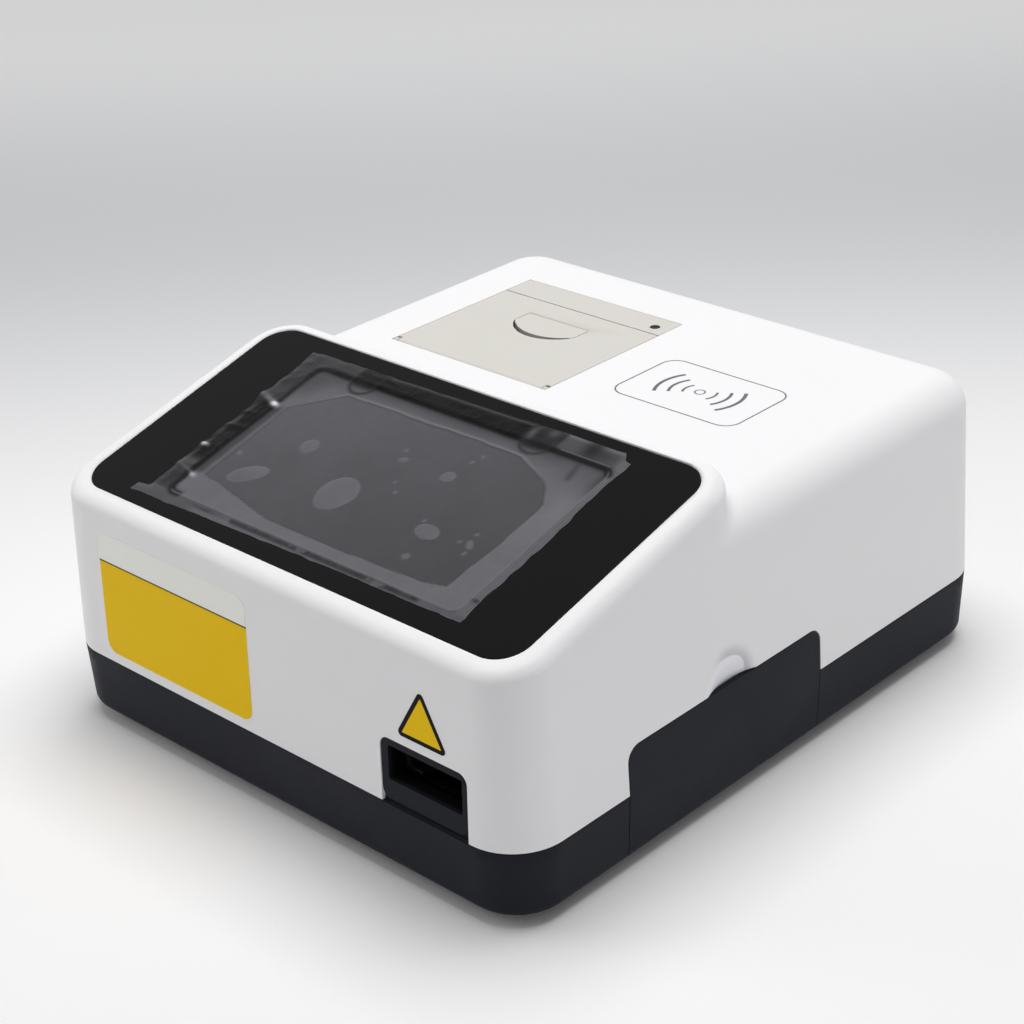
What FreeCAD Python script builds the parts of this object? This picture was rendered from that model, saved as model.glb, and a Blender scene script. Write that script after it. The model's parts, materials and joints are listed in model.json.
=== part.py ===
import FreeCAD, Part

"""Rapid test reader: a bench instrument that reads lateral-flow test cassettes.

A white upper case with a sloping touch screen sits on a charcoal tray. A motor-driven
carrier comes out of the slot in front, a panel printer with a hinged lid sits in the
rear deck, and a battery lies behind the flip-down door on the right.
Millimetres. X is to the right seen from the front, Y to the back, Z up. The origin is on
the table, under the middle of the case.
"""

import math
import os

from FreeCAD import Placement, Rotation, Vector

# ---------------------------------------------------------------- driving dimensions
# Case
case_width = 240.0
case_depth = 270.0
case_corner_r = 21.0
case_lean = 2.07          # degrees, the upper walls lean in towards the top
foot_height = 4.0
tray_height = 27.0
tray_taper = 2.9          # degrees, the tray's walls lean in towards the bottom
tray_edge_r = 4.0
wall = 2.5
rear_wall = 2.2           # side and back walls of the rear block
floor_thickness = 3.0
seam_gap = 0.5
lip_thickness = 1.3
lip_height = 3.0
rear_height = 81.6        # rear deck above the seam
shoulder_r = 13.5
rim_r = 5.5
cove_r = 7.5
fit_gap = 0.3             # between parts that are pushed together by hand
run_gap = 0.05            # radial, between a shaft and its bore

# Screen
glass_side = 10.7         # case's side to the glass
glass_length = 107.7
glass_thickness = 1.8
glass_corner_r = 12.0
screen_tilt = 15.0        # degrees
screen_front_height = 66.3   # glass's lower edge above the seam
screen_setback = 9.75        # glass's lower edge behind the tray's front edge
screen_border = 8.0
deck_thickness = 4.0
lcd_width = 165.0
lcd_length = 100.0
lcd_thickness = 5.7
bracket_thickness = 1.0
bracket_ear = 12.0        # beyond the display's sides
bracket_margin = 7.0
bracket_corner_r = 4.0
bracket_skirt = 6.5
bracket_window_width = 40.0
bracket_window_pitch = 50.0
display_screw_out = 7.0   # beyond the display's sides
display_screw_inset = 14.0
display_screw_length = 4.0
pillar_r = 3.2
film_width = 163.0
film_length = 95.0
film_thickness = 0.2
antenna_width = 58.0
antenna_length = 38.0
antenna_x = 44.8
antenna_y = 50.2
board_thickness = 1.6

# Stickers
sticker_thickness = 0.12
front_sticker_width = 82.0
front_sticker_height = 49.7
front_sticker_x = -49.7
front_sticker_low = 4.15
slot_sticker_side = 24.0
slot_sticker_rise = 3.5       # above the slot's cut
slot_sticker_r = 1.6

# Cassette slot and its drive
slot_from_side = 42.2     # slot's middle from the case's right side
slot_width = 34.4
slot_height = 13.2
slot_low = 9.6            # above the seam
slot_cut_width = 40.6
slot_cut_shift = -0.45    # the cut's middle from the slot's
slot_cut_top = 25.65
slot_cut_r = 4.0
slot_face_low = 2.0
slot_recess = 0.3
slot_step = 1.0           # the step under the face, behind its surface
slot_flange = 1.5
slot_chute_wall = 1.4
slot_chute_length = 6.0
slot_tunnel_length = 20.0
carrier_rise = 0.9        # above the slot's lower edge
carrier_width = 33.4
carrier_floor = 1.6
carrier_side = 2.4
carrier_height = 8.4
carrier_back = 8.0        # solid end behind the bed
carrier_notch_r = 9.0     # for a finger, to push the cassette out
cassette_width = 25.0
cassette_length = 77.0
cassette_play = 0.4
bush_half = 3.6
bush_length = 26.0
rod_r = 2.0
rod_spacing = 26.0
screw_r = 2.0
screw_journal_r = 1.5
nut_r = 3.0
nut_length = 12.0
bearing_r = 2.5
chassis_width = 46.0
chassis_thickness = 1.5
chassis_screw_inset = 5.0
chassis_screw_length = 8.0
chassis_window = 8.0      # half the width of its lightening holes
motor_size = 20.0
motor_length = 30.0
motor_boss_r = 5.0
head_width = 26.0
head_depth = 30.0
head_height = 30.0
head_clearance = 3.0      # bridge above the carrier
head_bore_r = 6.0
head_lid = 6.0            # solid above the bore
head_eye_r = 2.5
lamp_r = 2.5
lamp_rise = 14.0
lamp_rim = 0.9
lamp_stem = 7.0
lens_curve_r = 9.0
lens_low = 1.4
lens_thickness = 2.6
sensor_width = 5.0
sensor_length = 12.0
sensor_height = 10.0
sensor_wall = 1.4
sensor_gap = 4.0

# Side door and battery bay
door_front = -80.5
door_back = 26.3
door_top = 18.1           # above the seam
door_gap = 0.4
door_thickness = 2.4
door_corner_r = 6.0
door_pin_r = 1.2
door_hinge_inset = 12.0   # from the door's ends to its hinges
door_knuckle_r = 2.2
door_knuckle_width = 6.5
door_ear_width = 6.0
door_ear_reach = 8.0
door_ear_low = 1.5        # arm's underside below the axis, clear of the door's rolled edge
door_notch_r = 2.6
tongue_inset = 30.0
tongue_width = 8.0
tongue_reach = 4.0
tongue_thickness = 2.2
tongue_drop = 4.0
door_ribs = 4
door_rib_width = 1.6
door_rib_depth = 1.2
scoop_width = 29.2        # of the full circle that the door's edge cuts
scoop_depth = 3.0
scoop_rise = 10.4         # above the door
scoop_shift = 2.6         # behind the door's middle
scoop_skin = 2.0
scoop_lip = 3.0           # how far its wall goes down behind the door
bay_width = 58.0
bay_wall = 2.0
cell_r = 9.2
cell_length = 70.0
cell_count = 3

# Printer
printer_width = 83.4
printer_length = 82.3
printer_x = -44.6
printer_front = 15.95
printer_depth = 56.0
printer_wall = 2.0
lid_thickness = 3.0
lid_gap = 0.3
strip_width = 14.8        # fixed strip behind the paper slit
slit_width = 0.6
hinge_r = 1.8
hinge_pin_r = 0.9
paper_width = 57.0
paper_r = 20.0
core_r = 6.5
core_wall = 1.2
platen_r = 4.0
platen_shaft_r = 1.5
platen_drop = 9.5         # platen axis under the lid's face
platen_from_slit = 7.4
roll_drop = 9.6           # full roll's top under the lid
roll_from_front = 8.0
roll_gap = 0.35
partition = 1.5           # between the paper's bay and the gears' pockets
arm_thickness = 2.0
gear_module = 0.6
gear_width = 4.0
platen_teeth = 18
idler_teeth = 30
pinion_teeth = 10
feed_motor_r = 7.5
feed_motor_length = 15.0
head_tilt = 20.0          # degrees, the print head leans back from upright
head_half = 5.0           # half the print head's height
head_plate = 1.0
head_gap = 0.25           # to the platen, where the paper runs
head_seat = 2.6           # the frame's seat for the head, behind the slit
lever_width = 32.0
lever_length = 16.5
lever_back = 27.7         # lever's rear edge in front of the printer's rear edge
lever_thickness = 2.2
lever_pin_r = 0.7
lever_pad = 2.4           # plastic round the lever's well
lever_bow = 7.2
finger_gap = 2.4
button_r = 2.0
button_travel = 0.6
button_from_side = 7.2
button_from_back = 8.8
switch_half = 3.1
switch_drop = 9.5         # its underside below the deck
switch_height = 3.6

# Rear panel
port_recess_depth = 2.6
port_recess_low = 5.0     # above the tray's underside
port_recess_height = 18.0
port_recess_x0 = -72.0
port_recess_x1 = 84.0
standoff_height = 5.0
main_board_width = 140.0
main_board_depth = 92.0
main_board_x = -27.0
board_screw_inset = 6.0
board_screw_back = 20.0   # from the board's rear edge
board_screw_length = 6.0
board_post_r = 3.5
port_length = 10.0        # on the board
usb_a_from_right = 103.0  # board's right edge to each port's left side
usb_b_from_right = 85.0
lan_from_right = 63.0
dc_from_right = 23.0
usb_shell = 0.6
usb_width = 13.1
usb_height = 7.0
lan_width = 16.0
lan_height = 13.5
dc_width = 9.0
dc_height = 11.0
rocker_width = 21.0
rocker_height = 13.0
rocker_x = 66.0
rocker_throw = 16.0       # degrees from off to on
rocker_pivot = 3.5        # behind the recess's face
rocker_axle_r = 1.0
rocker_wall = 1.4
rocker_side_gap = 0.9
rocker_rim = 1.7
rocker_depth = 10.4
vent_count = 12
vent_pitch = 6.0
vent_width = 2.4
vent_height = 26.0
vent_low = 30.0           # above the seam
vent_x = 50.0
floor_vent_count = 8
floor_vent_pitch = 7.0
floor_vent_width = 2.6
floor_vent_length = 30.0
floor_vent_x = -40.0
floor_vent_y = 5.0

# Fasteners and feet
foot_r = 8.0
foot_inset = 30.0
foot_seat = 1.0
boss_r = 4.5
boss_rise = 16.0
boss_rib = 2.0
boss_rib_end = 2.9        # ribs end inside the wall
boss_inset = 14.0
screw_shank_r = 1.5
screw_head_r = 2.9
screw_head_height = 2.0
speaker_r = 14.0
speaker_height = 6.0
speaker_x = -60.0
speaker_y = -80.0
speaker_wall = 1.8
speaker_slots = 7
speaker_slot_pitch = 4.0
speaker_slot_width = 1.8
speaker_slot_length = 16.0

# ---------------------------------------------------------------- derived places
seam = foot_height + tray_height
deck_top = seam + rear_height
half_width = case_width / 2
slot_x = half_width - slot_from_side
glass_width = case_width - 2 * glass_side
half_depth = case_depth / 2
lean = math.tan(math.radians(case_lean))
taper = math.tan(math.radians(tray_taper))
tilt = math.radians(screen_tilt)
floor_top = foot_height + floor_thickness
tray_wall = wall + fit_gap + lip_thickness
glass_y = -half_depth + screen_setback
glass_z = seam + screen_front_height
wedge_back = glass_y + (glass_length + screen_border) * math.cos(tilt)
wedge_top = glass_z + (glass_length + screen_border) * math.sin(tilt)
wedge_foot = wedge_back + (wedge_top - seam) * lean   # rear wall of the wedge at the seam

slot_cut_x = slot_x + slot_cut_shift
carrier_z = seam + slot_low + carrier_rise
carrier_length = cassette_length + carrier_back
rod_z = carrier_z - rod_r - 0.6
chassis_top = rod_z - rod_r - 1.6
chassis_z = chassis_top - chassis_thickness
chassis_front = -half_depth + wall + 6.5
carrier_front = chassis_front - 0.5
chassis_back = door_back + bay_wall + 8.0
bay_x1 = half_width - 14.0
bay_x0 = bay_x1 - bay_width

door_axis_x = half_width - (tray_height - tray_edge_r) * taper - tray_edge_r
door_axis_z = foot_height + tray_edge_r

printer_x0 = printer_x - printer_width / 2
printer_x1 = printer_x + printer_width / 2
printer_back = printer_front + printer_length
slit_y = printer_back - strip_width
frame_half = printer_width / 2 - lid_gap
bay_half = paper_width / 2 + 0.5 + arm_thickness + 0.5
pocket_half = frame_half - printer_wall
lid_axis_y = printer_front + lid_gap + hinge_r
lid_axis_z = deck_top - hinge_r
roll_y = printer_front + printer_wall + paper_r + roll_from_front
roll_z = deck_top - lid_thickness - roll_drop - paper_r
platen_y = slit_y - platen_from_slit
platen_z = deck_top - platen_drop
platen_pitch_r = gear_module * platen_teeth / 2
idler_pitch_r = gear_module * idler_teeth / 2
pinion_pitch_r = gear_module * pinion_teeth / 2
idler_y = platen_y
idler_z = platen_z - platen_pitch_r - idler_pitch_r
pinion_angle = -48.0      # degrees, from the idler to the pinion
pinion_y = idler_y + (idler_pitch_r + pinion_pitch_r) * math.cos(math.radians(pinion_angle))
pinion_z = idler_z + (idler_pitch_r + pinion_pitch_r) * math.sin(math.radians(pinion_angle))
gear_x = printer_x + bay_half + partition + 0.6
lever_y1 = printer_back - lever_back
lever_y0 = lever_y1 - lever_length
lever_axis_y = lever_y1 - lever_thickness / 2
lever_axis_z = deck_top - lever_thickness / 2

board_z = floor_top + standoff_height
port_y = half_depth - port_recess_depth
case_screw_top = seam + 11.0
board_back = half_depth - tray_wall - 4.0

X, Y, Z = Vector(1, 0, 0), Vector(0, 1, 0), Vector(0, 0, 1)


# ---------------------------------------------------------------- helpers
def box(x0, x1, y0, y1, z0, z1):
    return Part.makeBox(x1 - x0, y1 - y0, z1 - z0, Vector(x0, y0, z0))


def rod(r, start, end):
    """A round bar from one point to another."""
    start, end = Vector(*start), Vector(*end)
    return Part.makeCylinder(r, (end - start).Length, start, end - start)


def join(shapes):
    shapes = list(shapes)
    return shapes[0].multiFuse(shapes[1:]).removeSplitter()


def corner_arc(cx, cy, r, z, start):
    """A quarter circle from the angle start, in degrees."""
    points = []
    for turn in (0, 45, 90):
        a = math.radians(start + turn)
        points.append(Vector(cx + r * math.cos(a), cy + r * math.sin(a), z))
    return Part.Arc(*points).toShape()


def rounded_wire(x0, x1, y0, y1, r, z):
    return Part.Wire([
        Part.makeLine(Vector(x0 + r, y0, z), Vector(x1 - r, y0, z)),
        corner_arc(x1 - r, y0 + r, r, z, -90),
        Part.makeLine(Vector(x1, y0 + r, z), Vector(x1, y1 - r, z)),
        corner_arc(x1 - r, y1 - r, r, z, 0),
        Part.makeLine(Vector(x1 - r, y1, z), Vector(x0 + r, y1, z)),
        corner_arc(x0 + r, y1 - r, r, z, 90),
        Part.makeLine(Vector(x0, y1 - r, z), Vector(x0, y0 + r, z)),
        corner_arc(x0 + r, y0 + r, r, z, 180),
    ])


def rounded_block(x0, x1, y0, y1, r, z0, z1, draft=0.0):
    """A block with round upright corners, whose walls move in by draft for each mm up."""
    if not draft:
        return Part.Face(rounded_wire(x0, x1, y0, y1, r, z0)).extrude(Vector(0, 0, z1 - z0))
    d = (z1 - z0) * draft
    low = rounded_wire(x0, x1, y0, y1, r, z0)
    high = rounded_wire(x0 + d, x1 - d, y0 + d, y1 - d, r - d, z1)
    return Part.makeLoft([low, high], True, True)


def profile_x(points, x0, x1):
    """A straight-sided outline of (y, z) points, drawn out along X."""
    corners = [Vector(x0, y, z) for y, z in points]
    return Part.Face(Part.makePolygon(corners + corners[:1])).extrude(Vector(x1 - x0, 0, 0))


def top_face(shape):
    return max(shape.Faces, key=lambda f: f.CenterOfMass.z)


def bottom_face(shape):
    return min(shape.Faces, key=lambda f: f.CenterOfMass.z)


def on_glass(shape):
    """From the screen's own frame: X right, Y up the slope from the glass's lower edge, Z out."""
    shape.Placement = Placement(Vector(0, glass_y, glass_z), Rotation(X, screen_tilt))
    return shape


def side_x(z):
    """Half the case's width at a height."""
    if z >= seam:
        return half_width - (z - seam) * lean
    return half_width - (seam - z) * taper


def screw(x, y, z, length, head_up=1):
    """A pan-head screw whose head rests at z and whose shank goes the other way."""
    head = rod(screw_head_r, (x, y, z), (x, y, z + head_up * screw_head_height))
    shank = rod(screw_shank_r, (x, y, z), (x, y, z - head_up * length))
    return head.fuse(shank).removeSplitter()


def mirrored_pairs(x, y):
    return [(sx * x, sy * y) for sy in (-1, 1) for sx in (-1, 1)]


# ---------------------------------------------------------------- case
def wedge_block(inset, deck, rim):
    """The sloped front block, or with an inset the hollow inside it."""
    slope = math.tan(tilt)
    drop = deck / math.cos(tilt)
    tall = wedge_top - seam + 20
    x1, y0 = half_width - inset, -half_depth + inset
    wedge = rounded_block(-x1, x1, y0, wedge_foot - inset, case_corner_r - inset, seam, seam + tall, lean)
    far = case_depth
    wedge = wedge.common(profile_x([
        (-far, seam), (far, seam),
        (far, glass_z + (far - glass_y) * slope - drop),
        (-far, glass_z + (-far - glass_y) * slope - drop),
    ], -far, far))
    return wedge.makeFillet(rim, top_face(wedge).Edges)


def rear_block(inset, deck, shoulder):
    """The lower block behind, or with an inset the hollow inside it."""
    x1, y1 = half_width - inset, half_depth - inset
    rear = rounded_block(-x1, x1, -y1, y1, case_corner_r - inset, seam, deck_top - deck, lean)
    rear = rear.makeFillet(shoulder, top_face(rear).Edges)
    start = wedge_foot - case_corner_r - cove_r
    return rear.common(box(-case_width, case_width, start, case_depth, 0, case_depth))


def case_form():
    """The upper case's outside: both blocks and the cove where they meet."""
    form = wedge_block(0, 0, rim_r).fuse(rear_block(0, 0, shoulder_r)).removeSplitter()
    valley = [
        e for e in form.Edges
        if e.BoundBox.YMin > wedge_foot - case_corner_r - 2
        and e.BoundBox.YMax < wedge_foot
        and e.BoundBox.ZMin > deck_top - shoulder_r - 1
        and e.BoundBox.ZMax < deck_top + 0.1
    ]
    return form.makeFillet(cove_r, valley)


def door_prism(gap, x0):
    """The side door's outline, drawn out along X from x0, with its top corners rounded."""
    y0, y1 = door_front + gap, door_back - gap
    top, r = seam + door_top - gap, door_corner_r - gap
    plate = rounded_block(y0, y1, foot_height - 20, top, r, 0, half_width + 1 - x0)
    plate.Placement = Placement(Vector(x0, 0, 0), Rotation(Vector(1, 1, 1), 120))
    return plate


def scoop_ball(extra):
    """The thumb scoop above the door is part of a ball, as wide as the scoop at the wall."""
    ring_r = scoop_width / 2
    ball_r = (ring_r ** 2 + scoop_depth ** 2) / (2 * scoop_depth)
    z = seam + door_top + scoop_rise - ring_r
    y = (door_front + door_back) / 2 + scoop_shift
    return Part.makeSphere(ball_r + extra, Vector(side_x(z) + ball_r - scoop_depth, y, z))


def glass_block(grow, low, high):
    """The glass's outline, grown all round, between two depths in the screen's frame."""
    x1 = glass_width / 2 + grow
    return on_glass(rounded_block(
        -x1, x1, -grow, glass_length + grow, glass_corner_r + grow, low, high))


def display_points():
    """Where the display's bracket is screwed on, in the screen's frame."""
    x, s = lcd_width / 2 + display_screw_out, lcd_length / 2 - display_screw_inset
    return [(sx * x, glass_length / 2 + sy * s) for sy in (-1, 1) for sx in (-1, 1)]


def post_points():
    return mirrored_pairs(half_width - boss_inset, half_depth - boss_inset)


def upper_case():
    outer = case_form()
    case = outer.cut(rear_block(rear_wall, wall, shoulder_r - wall))
    case = case.cut(wedge_block(wall, deck_thickness, rim_r - wall))

    # posts for the case screws, each with two ribs to the walls
    posts = []
    low = seam + lip_height + 2 * fit_gap
    for x, y in post_points():
        posts.append(rod(boss_r, (x, y, seam - seam_gap), (x, y, low + boss_rise)))
        x0, x1 = sorted((x, math.copysign(half_width - boss_rib_end, x)))
        y0, y1 = sorted((y, math.copysign(half_depth - boss_rib_end, y)))
        posts.append(box(x0, x1, y - boss_rib / 2, y + boss_rib / 2, low, low + boss_rise))
        posts.append(box(x - boss_rib / 2, x + boss_rib / 2, y0, y1, low, low + boss_rise))
    # display pillars under the deck
    depth = glass_thickness + lcd_thickness
    pillars = []
    for x, s in display_points():
        pillars.append(on_glass(Part.makeCylinder(pillar_r, depth - 2.0, Vector(x, s, -depth))))
    # backing of the thumb scoop
    skin = side_x(seam + door_top + scoop_rise) - wall / 3
    backing = scoop_ball(scoop_skin).common(
        box(0, skin, door_front, door_back, seam + door_top, deck_top))
    case = join([case, backing] + posts + pillars)

    pocket = glass_block(fit_gap, -glass_thickness, 30)
    window = on_glass(box(
        -lcd_width / 2 - 1, lcd_width / 2 + 1,
        (glass_length - lcd_length) / 2 - 1, (glass_length + lcd_length) / 2 + 1,
        -lcd_thickness - 10, 5))
    printer_hole = box(printer_x0, printer_x1, printer_front, printer_back,
                       deck_top - 3 * wall, deck_top + 5)
    slot = slot_cut(0)
    case = case.cut(join([pocket, window]))
    case = case.cut(printer_hole).cut(slot).cut(scoop_ball(0))
    case = case.cut(door_prism(0, bay_x1)).fuse(scoop_lip_wall()).removeSplitter()
    holes = [rod(screw_shank_r, (x, y, seam - 1), (x, y, case_screw_top)) for x, y in post_points()]
    for x, s in display_points():
        holes.append(on_glass(Part.makeCylinder(
            screw_shank_r, display_screw_length, Vector(x, s, -depth))))
    vents = []
    for i in range(vent_count):
        x = vent_x + (i - (vent_count - 1) / 2) * vent_pitch
        z = seam + vent_low
        vents.append(rounded_block(
            x - vent_width / 2, x + vent_width / 2, -vent_height, 0, vent_width / 2 - 0.01, 0, 12))
        vents[-1].Placement = Placement(
            Vector(0, half_depth - 8, z), Rotation(X, -90))
    return case.cut(join(holes)).cut(Part.makeCompound(vents))


def scoop_lip_wall():
    """The scoop's wall goes on a little way down behind the door's upper edge."""
    top = seam + door_top
    behind_door = side_x(top) - door_thickness - door_gap
    shell = scoop_ball(scoop_skin).cut(scoop_ball(0))
    return shell.common(box(0, behind_door, door_front, door_back, top - scoop_lip, top + 0.5))


def slot_cut(gap):
    """The cut for the cassette slot in the front wall, open down to the tray."""
    x0 = slot_cut_x - slot_cut_width / 2 + gap
    x1 = slot_cut_x + slot_cut_width / 2 - gap
    plate = rounded_block(x0, x1, -20, slot_cut_top - gap, slot_cut_r, -8, 8)
    plate.Placement = Placement(Vector(0, -half_depth, seam), Rotation(X, 90))
    return plate


def lower_case():
    top = seam - seam_gap
    reach = (top - foot_height) * taper
    x1, y1 = half_width - seam_gap * taper, half_depth - seam_gap * taper
    outer = rounded_block(-x1 + reach, x1 - reach, -y1 + reach, y1 - reach,
                          case_corner_r - reach, foot_height, top, -taper)
    outer = outer.makeFillet(tray_edge_r, bottom_face(outer).Edges)
    lip_inset = wall + fit_gap + lip_height * lean
    lx, ly = half_width - lip_inset, half_depth - lip_inset
    lip = rounded_block(-lx, lx, -ly, ly, case_corner_r - lip_inset, top - 3, seam + lip_height)
    hx, hy = half_width - tray_wall - 0.2, half_depth - tray_wall - 0.2
    hollow_r = case_corner_r - tray_wall
    rise = seam + lip_height + 1
    reach = (rise - floor_top) * taper
    hollow = rounded_block(-hx + reach, hx - reach, -hy + reach, hy - reach,
                           hollow_r - reach, floor_top, rise, -taper)
    tray = outer.fuse(lip).cut(hollow)

    # battery bay walls carry the drive's chassis
    bay = box(bay_x0 - bay_wall, bay_x1, door_front - bay_wall, door_back + bay_wall,
              floor_top - 1, chassis_z)
    bay = bay.cut(box(bay_x0, half_width, door_front, door_back, floor_top, seam + 20))
    parts = [tray, bay]
    # chassis posts in front, main-board standoffs and screw posts
    for x, y in chassis_points():
        parts.append(rod(4.0, (x, y, floor_top - 1), (x, y, chassis_z)))
    for x, y in board_points():
        parts.append(rod(board_post_r, (x, y, floor_top - 1), (x, y, board_z)))
    for x, y in post_points():
        parts.append(rod(boss_r + 1, (x, y, floor_top - 1), (x, y, seam - seam_gap)))
    ring = Part.makeCylinder(speaker_r + speaker_wall, 3, speaker_place(floor_top))
    parts.append(ring.cut(Part.makeCylinder(speaker_r + fit_gap, 3, speaker_place(floor_top))))
    tray = join(parts)

    cuts = [door_prism(0, door_axis_x - tray_edge_r - door_gap).cut(hinge_ears())]
    cuts.append(slot_cut(0).common(box(0, case_width, -case_depth, 0, seam - seam_gap, deck_top)))
    inset = port_recess_low + foot_height
    cuts.append(box(port_recess_x0, port_recess_x1, half_depth - port_recess_depth, half_depth + 1,
                    inset, inset + port_recess_height))
    cuts += port_holes()
    for x, y in mirrored_pairs(half_width - foot_inset, half_depth - foot_inset + 8):
        cuts.append(rod(foot_r, (x, y, foot_height - 1), (x, y, foot_height + foot_seat)))
    for x, y in post_points():
        cuts.append(rod(screw_head_r + 0.3, (x, y, 0), (x, y, floor_top + 1)))
        cuts.append(rod(screw_shank_r + 0.2, (x, y, 0), (x, y, seam)))
    for x, y in board_points():
        cuts.append(rod(screw_shank_r, (x, y, floor_top), (x, y, board_z)))
    for x, y in chassis_points():
        cuts.append(rod(screw_shank_r, (x, y, chassis_z - chassis_screw_length), (x, y, chassis_z)))
    cuts += slots(speaker_x, speaker_y, speaker_slots, speaker_slot_pitch, speaker_slot_width,
                  speaker_slot_length)
    cuts += slots(floor_vent_x, floor_vent_y, floor_vent_count, floor_vent_pitch, floor_vent_width,
                  floor_vent_length)
    tray = tray.cut(Part.makeCompound(cuts))
    return tray.fuse(hinge_ears()).removeSplitter().cut(hinge_bores())


def slots(x, y, count, pitch, width, length):
    """A row of slots through the tray's floor."""
    first = x - (count - 1) / 2 * pitch
    return [box(first + i * pitch - width / 2, first + i * pitch + width / 2,
                y - length / 2, y + length / 2, 0, floor_top + 0.1) for i in range(count)]


def speaker_place(z):
    return Vector(speaker_x, speaker_y, z)


def chassis_points():
    """The drive's chassis is screwed down at its front corners and just behind the bay."""
    x = chassis_width / 2 - chassis_screw_inset
    rows = (chassis_front + 8, door_back + bay_wall + 3.5)
    return [(slot_x + side * x, y) for y in rows for side in (-1, 1)]


def board_points():
    x0 = main_board_x - main_board_width / 2 + board_screw_inset
    x1 = main_board_x + main_board_width / 2 - board_screw_inset
    y0, y1 = board_back - main_board_depth + board_screw_inset, board_back - board_screw_back
    return [(x, y) for y in (y0, y1) for x in (x0, x1)]


def hinge_places():
    """The two hinges of the side door: where the tray's ear starts, and which way its knuckle lies."""
    return [(door_front + door_hinge_inset, -1), (door_back - door_hinge_inset, 1)]


def hinge_ears():
    """The tray's ears for the door's pins."""
    ears = []
    for y, side in hinge_places():
        y0, y1 = sorted((y, y - side * door_ear_width))
        r = door_knuckle_r
        ear = rod(r, (door_axis_x, y0, door_axis_z), (door_axis_x, y1, door_axis_z))
        arm = box(door_axis_x - door_ear_reach, door_axis_x, y0, y1,
                  door_axis_z - door_ear_low, door_axis_z + r)
        ears.append(ear.fuse(arm).removeSplitter())
    return Part.makeCompound(ears)


def pin_span(y, side):
    return sorted((y - side * door_ear_width, y + side * door_knuckle_width))


def hinge_bores():
    bores = []
    for y, side in hinge_places():
        y0, y1 = pin_span(y, side)
        bores.append(rod(door_pin_r, (door_axis_x, y0, door_axis_z), (door_axis_x, y1, door_axis_z)))
    return Part.makeCompound(bores)


def side_door():
    """A leaf that follows both walls, with a rolled lower edge round its hinge axis."""
    low, top = foot_height, seam + door_top
    outline = [
        (side_x(door_axis_z), door_axis_z), (half_width, seam), (side_x(top), top),
        (side_x(top) - door_thickness, top), (half_width - door_thickness, seam),
        (side_x(door_axis_z) - door_thickness, door_axis_z),
    ]
    corners = [Vector(x, door_front, z) for x, z in outline]
    leaf = Part.Face(Part.makePolygon(corners + corners[:1])).extrude(
        Vector(0, door_back - door_front, 0))
    roll = rod(tray_edge_r, (door_axis_x, door_front, door_axis_z), (door_axis_x, door_back, door_axis_z))
    core = rod(tray_edge_r - door_thickness, (door_axis_x, door_front, door_axis_z),
               (door_axis_x, door_back, door_axis_z))
    quarter = box(door_axis_x, half_width + 5, door_front, door_back, low - 5, door_axis_z)
    roll = roll.cut(core).common(quarter)
    door = leaf.fuse(roll).removeSplitter().common(door_prism(door_gap, door_axis_x - 20))
    parts = [door]
    notches = []
    for y, side in hinge_places():
        y0, y1 = sorted((y + side * fit_gap, y + side * door_knuckle_width))
        knuckle = rod(door_knuckle_r, (door_axis_x, y0, door_axis_z), (door_axis_x, y1, door_axis_z))
        web = box(door_axis_x, side_x(door_axis_z) - 1, y0, y1,
                  door_axis_z - door_knuckle_r / 2, door_axis_z + door_knuckle_r)
        parts.append(knuckle.fuse(web))
        y0, y1 = sorted((y + side * fit_gap, y - side * (door_ear_width + fit_gap)))
        notches.append(rod(door_notch_r, (door_axis_x, y0, door_axis_z), (door_axis_x, y1, door_axis_z)))
        notches.append(box(door_axis_x - door_ear_reach - 1, door_axis_x + tray_edge_r - door_thickness,
                           y0, y1, 0, door_axis_z))
    inner = side_x(top) - door_thickness
    # snap tongues at the top
    for y in (door_front + tongue_inset, door_back - tongue_inset):
        z = top - door_gap - tongue_drop
        parts.append(box(inner - tongue_reach, inner + 0.3, y - tongue_width / 2, y + tongue_width / 2,
                         z - tongue_thickness, z))
    # stiffening ribs inside
    for i in range(door_ribs):
        y = door_front + (i + 1) * (door_back - door_front) / (door_ribs + 1)
        parts.append(box(inner - door_rib_depth, inner + 0.4, y - door_rib_width / 2,
                         y + door_rib_width / 2, door_axis_z + tray_edge_r + 2, top - door_corner_r - 3))
    door = join(parts).cut(Part.makeCompound(notches))
    bores = []
    for y, side in hinge_places():
        y0, y1 = pin_span(y, side)
        ends = (door_axis_x, y0, door_axis_z), (door_axis_x, y1, door_axis_z)
        bores.append(rod(door_pin_r + run_gap, *ends))
    return door.cut(Part.makeCompound(bores))


def port_holes():
    """Openings in the tray's rear wall for the ports and the power switch."""
    cuts = []
    for x0, x1, height in port_places().values():
        cuts.append(box(x0 - fit_gap, x1 + fit_gap, half_depth - 12, half_depth + 1,
                        board_z + board_thickness - fit_gap, board_z + board_thickness + height + fit_gap))
    z = rocker_z()
    cuts.append(box(rocker_x - rocker_width / 2, rocker_x + rocker_width / 2, half_depth - 12,
                    half_depth + 1, z - rocker_height / 2, z + rocker_height / 2))
    return cuts


def port_places():
    """Ports on the main board's rear edge: left side, right side, height."""
    right = main_board_x + main_board_width / 2
    starts = {
        "usb_a": (usb_a_from_right, usb_width, usb_height),
        "usb_b": (usb_b_from_right, usb_width, usb_height),
        "lan": (lan_from_right, lan_width, lan_height),
        "dc": (dc_from_right, dc_width, dc_height),
    }
    return {name: (right - back, right - back + width, height)
            for name, (back, width, height) in starts.items()}


def rocker_z():
    return foot_height + port_recess_low + port_recess_height / 2


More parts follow.
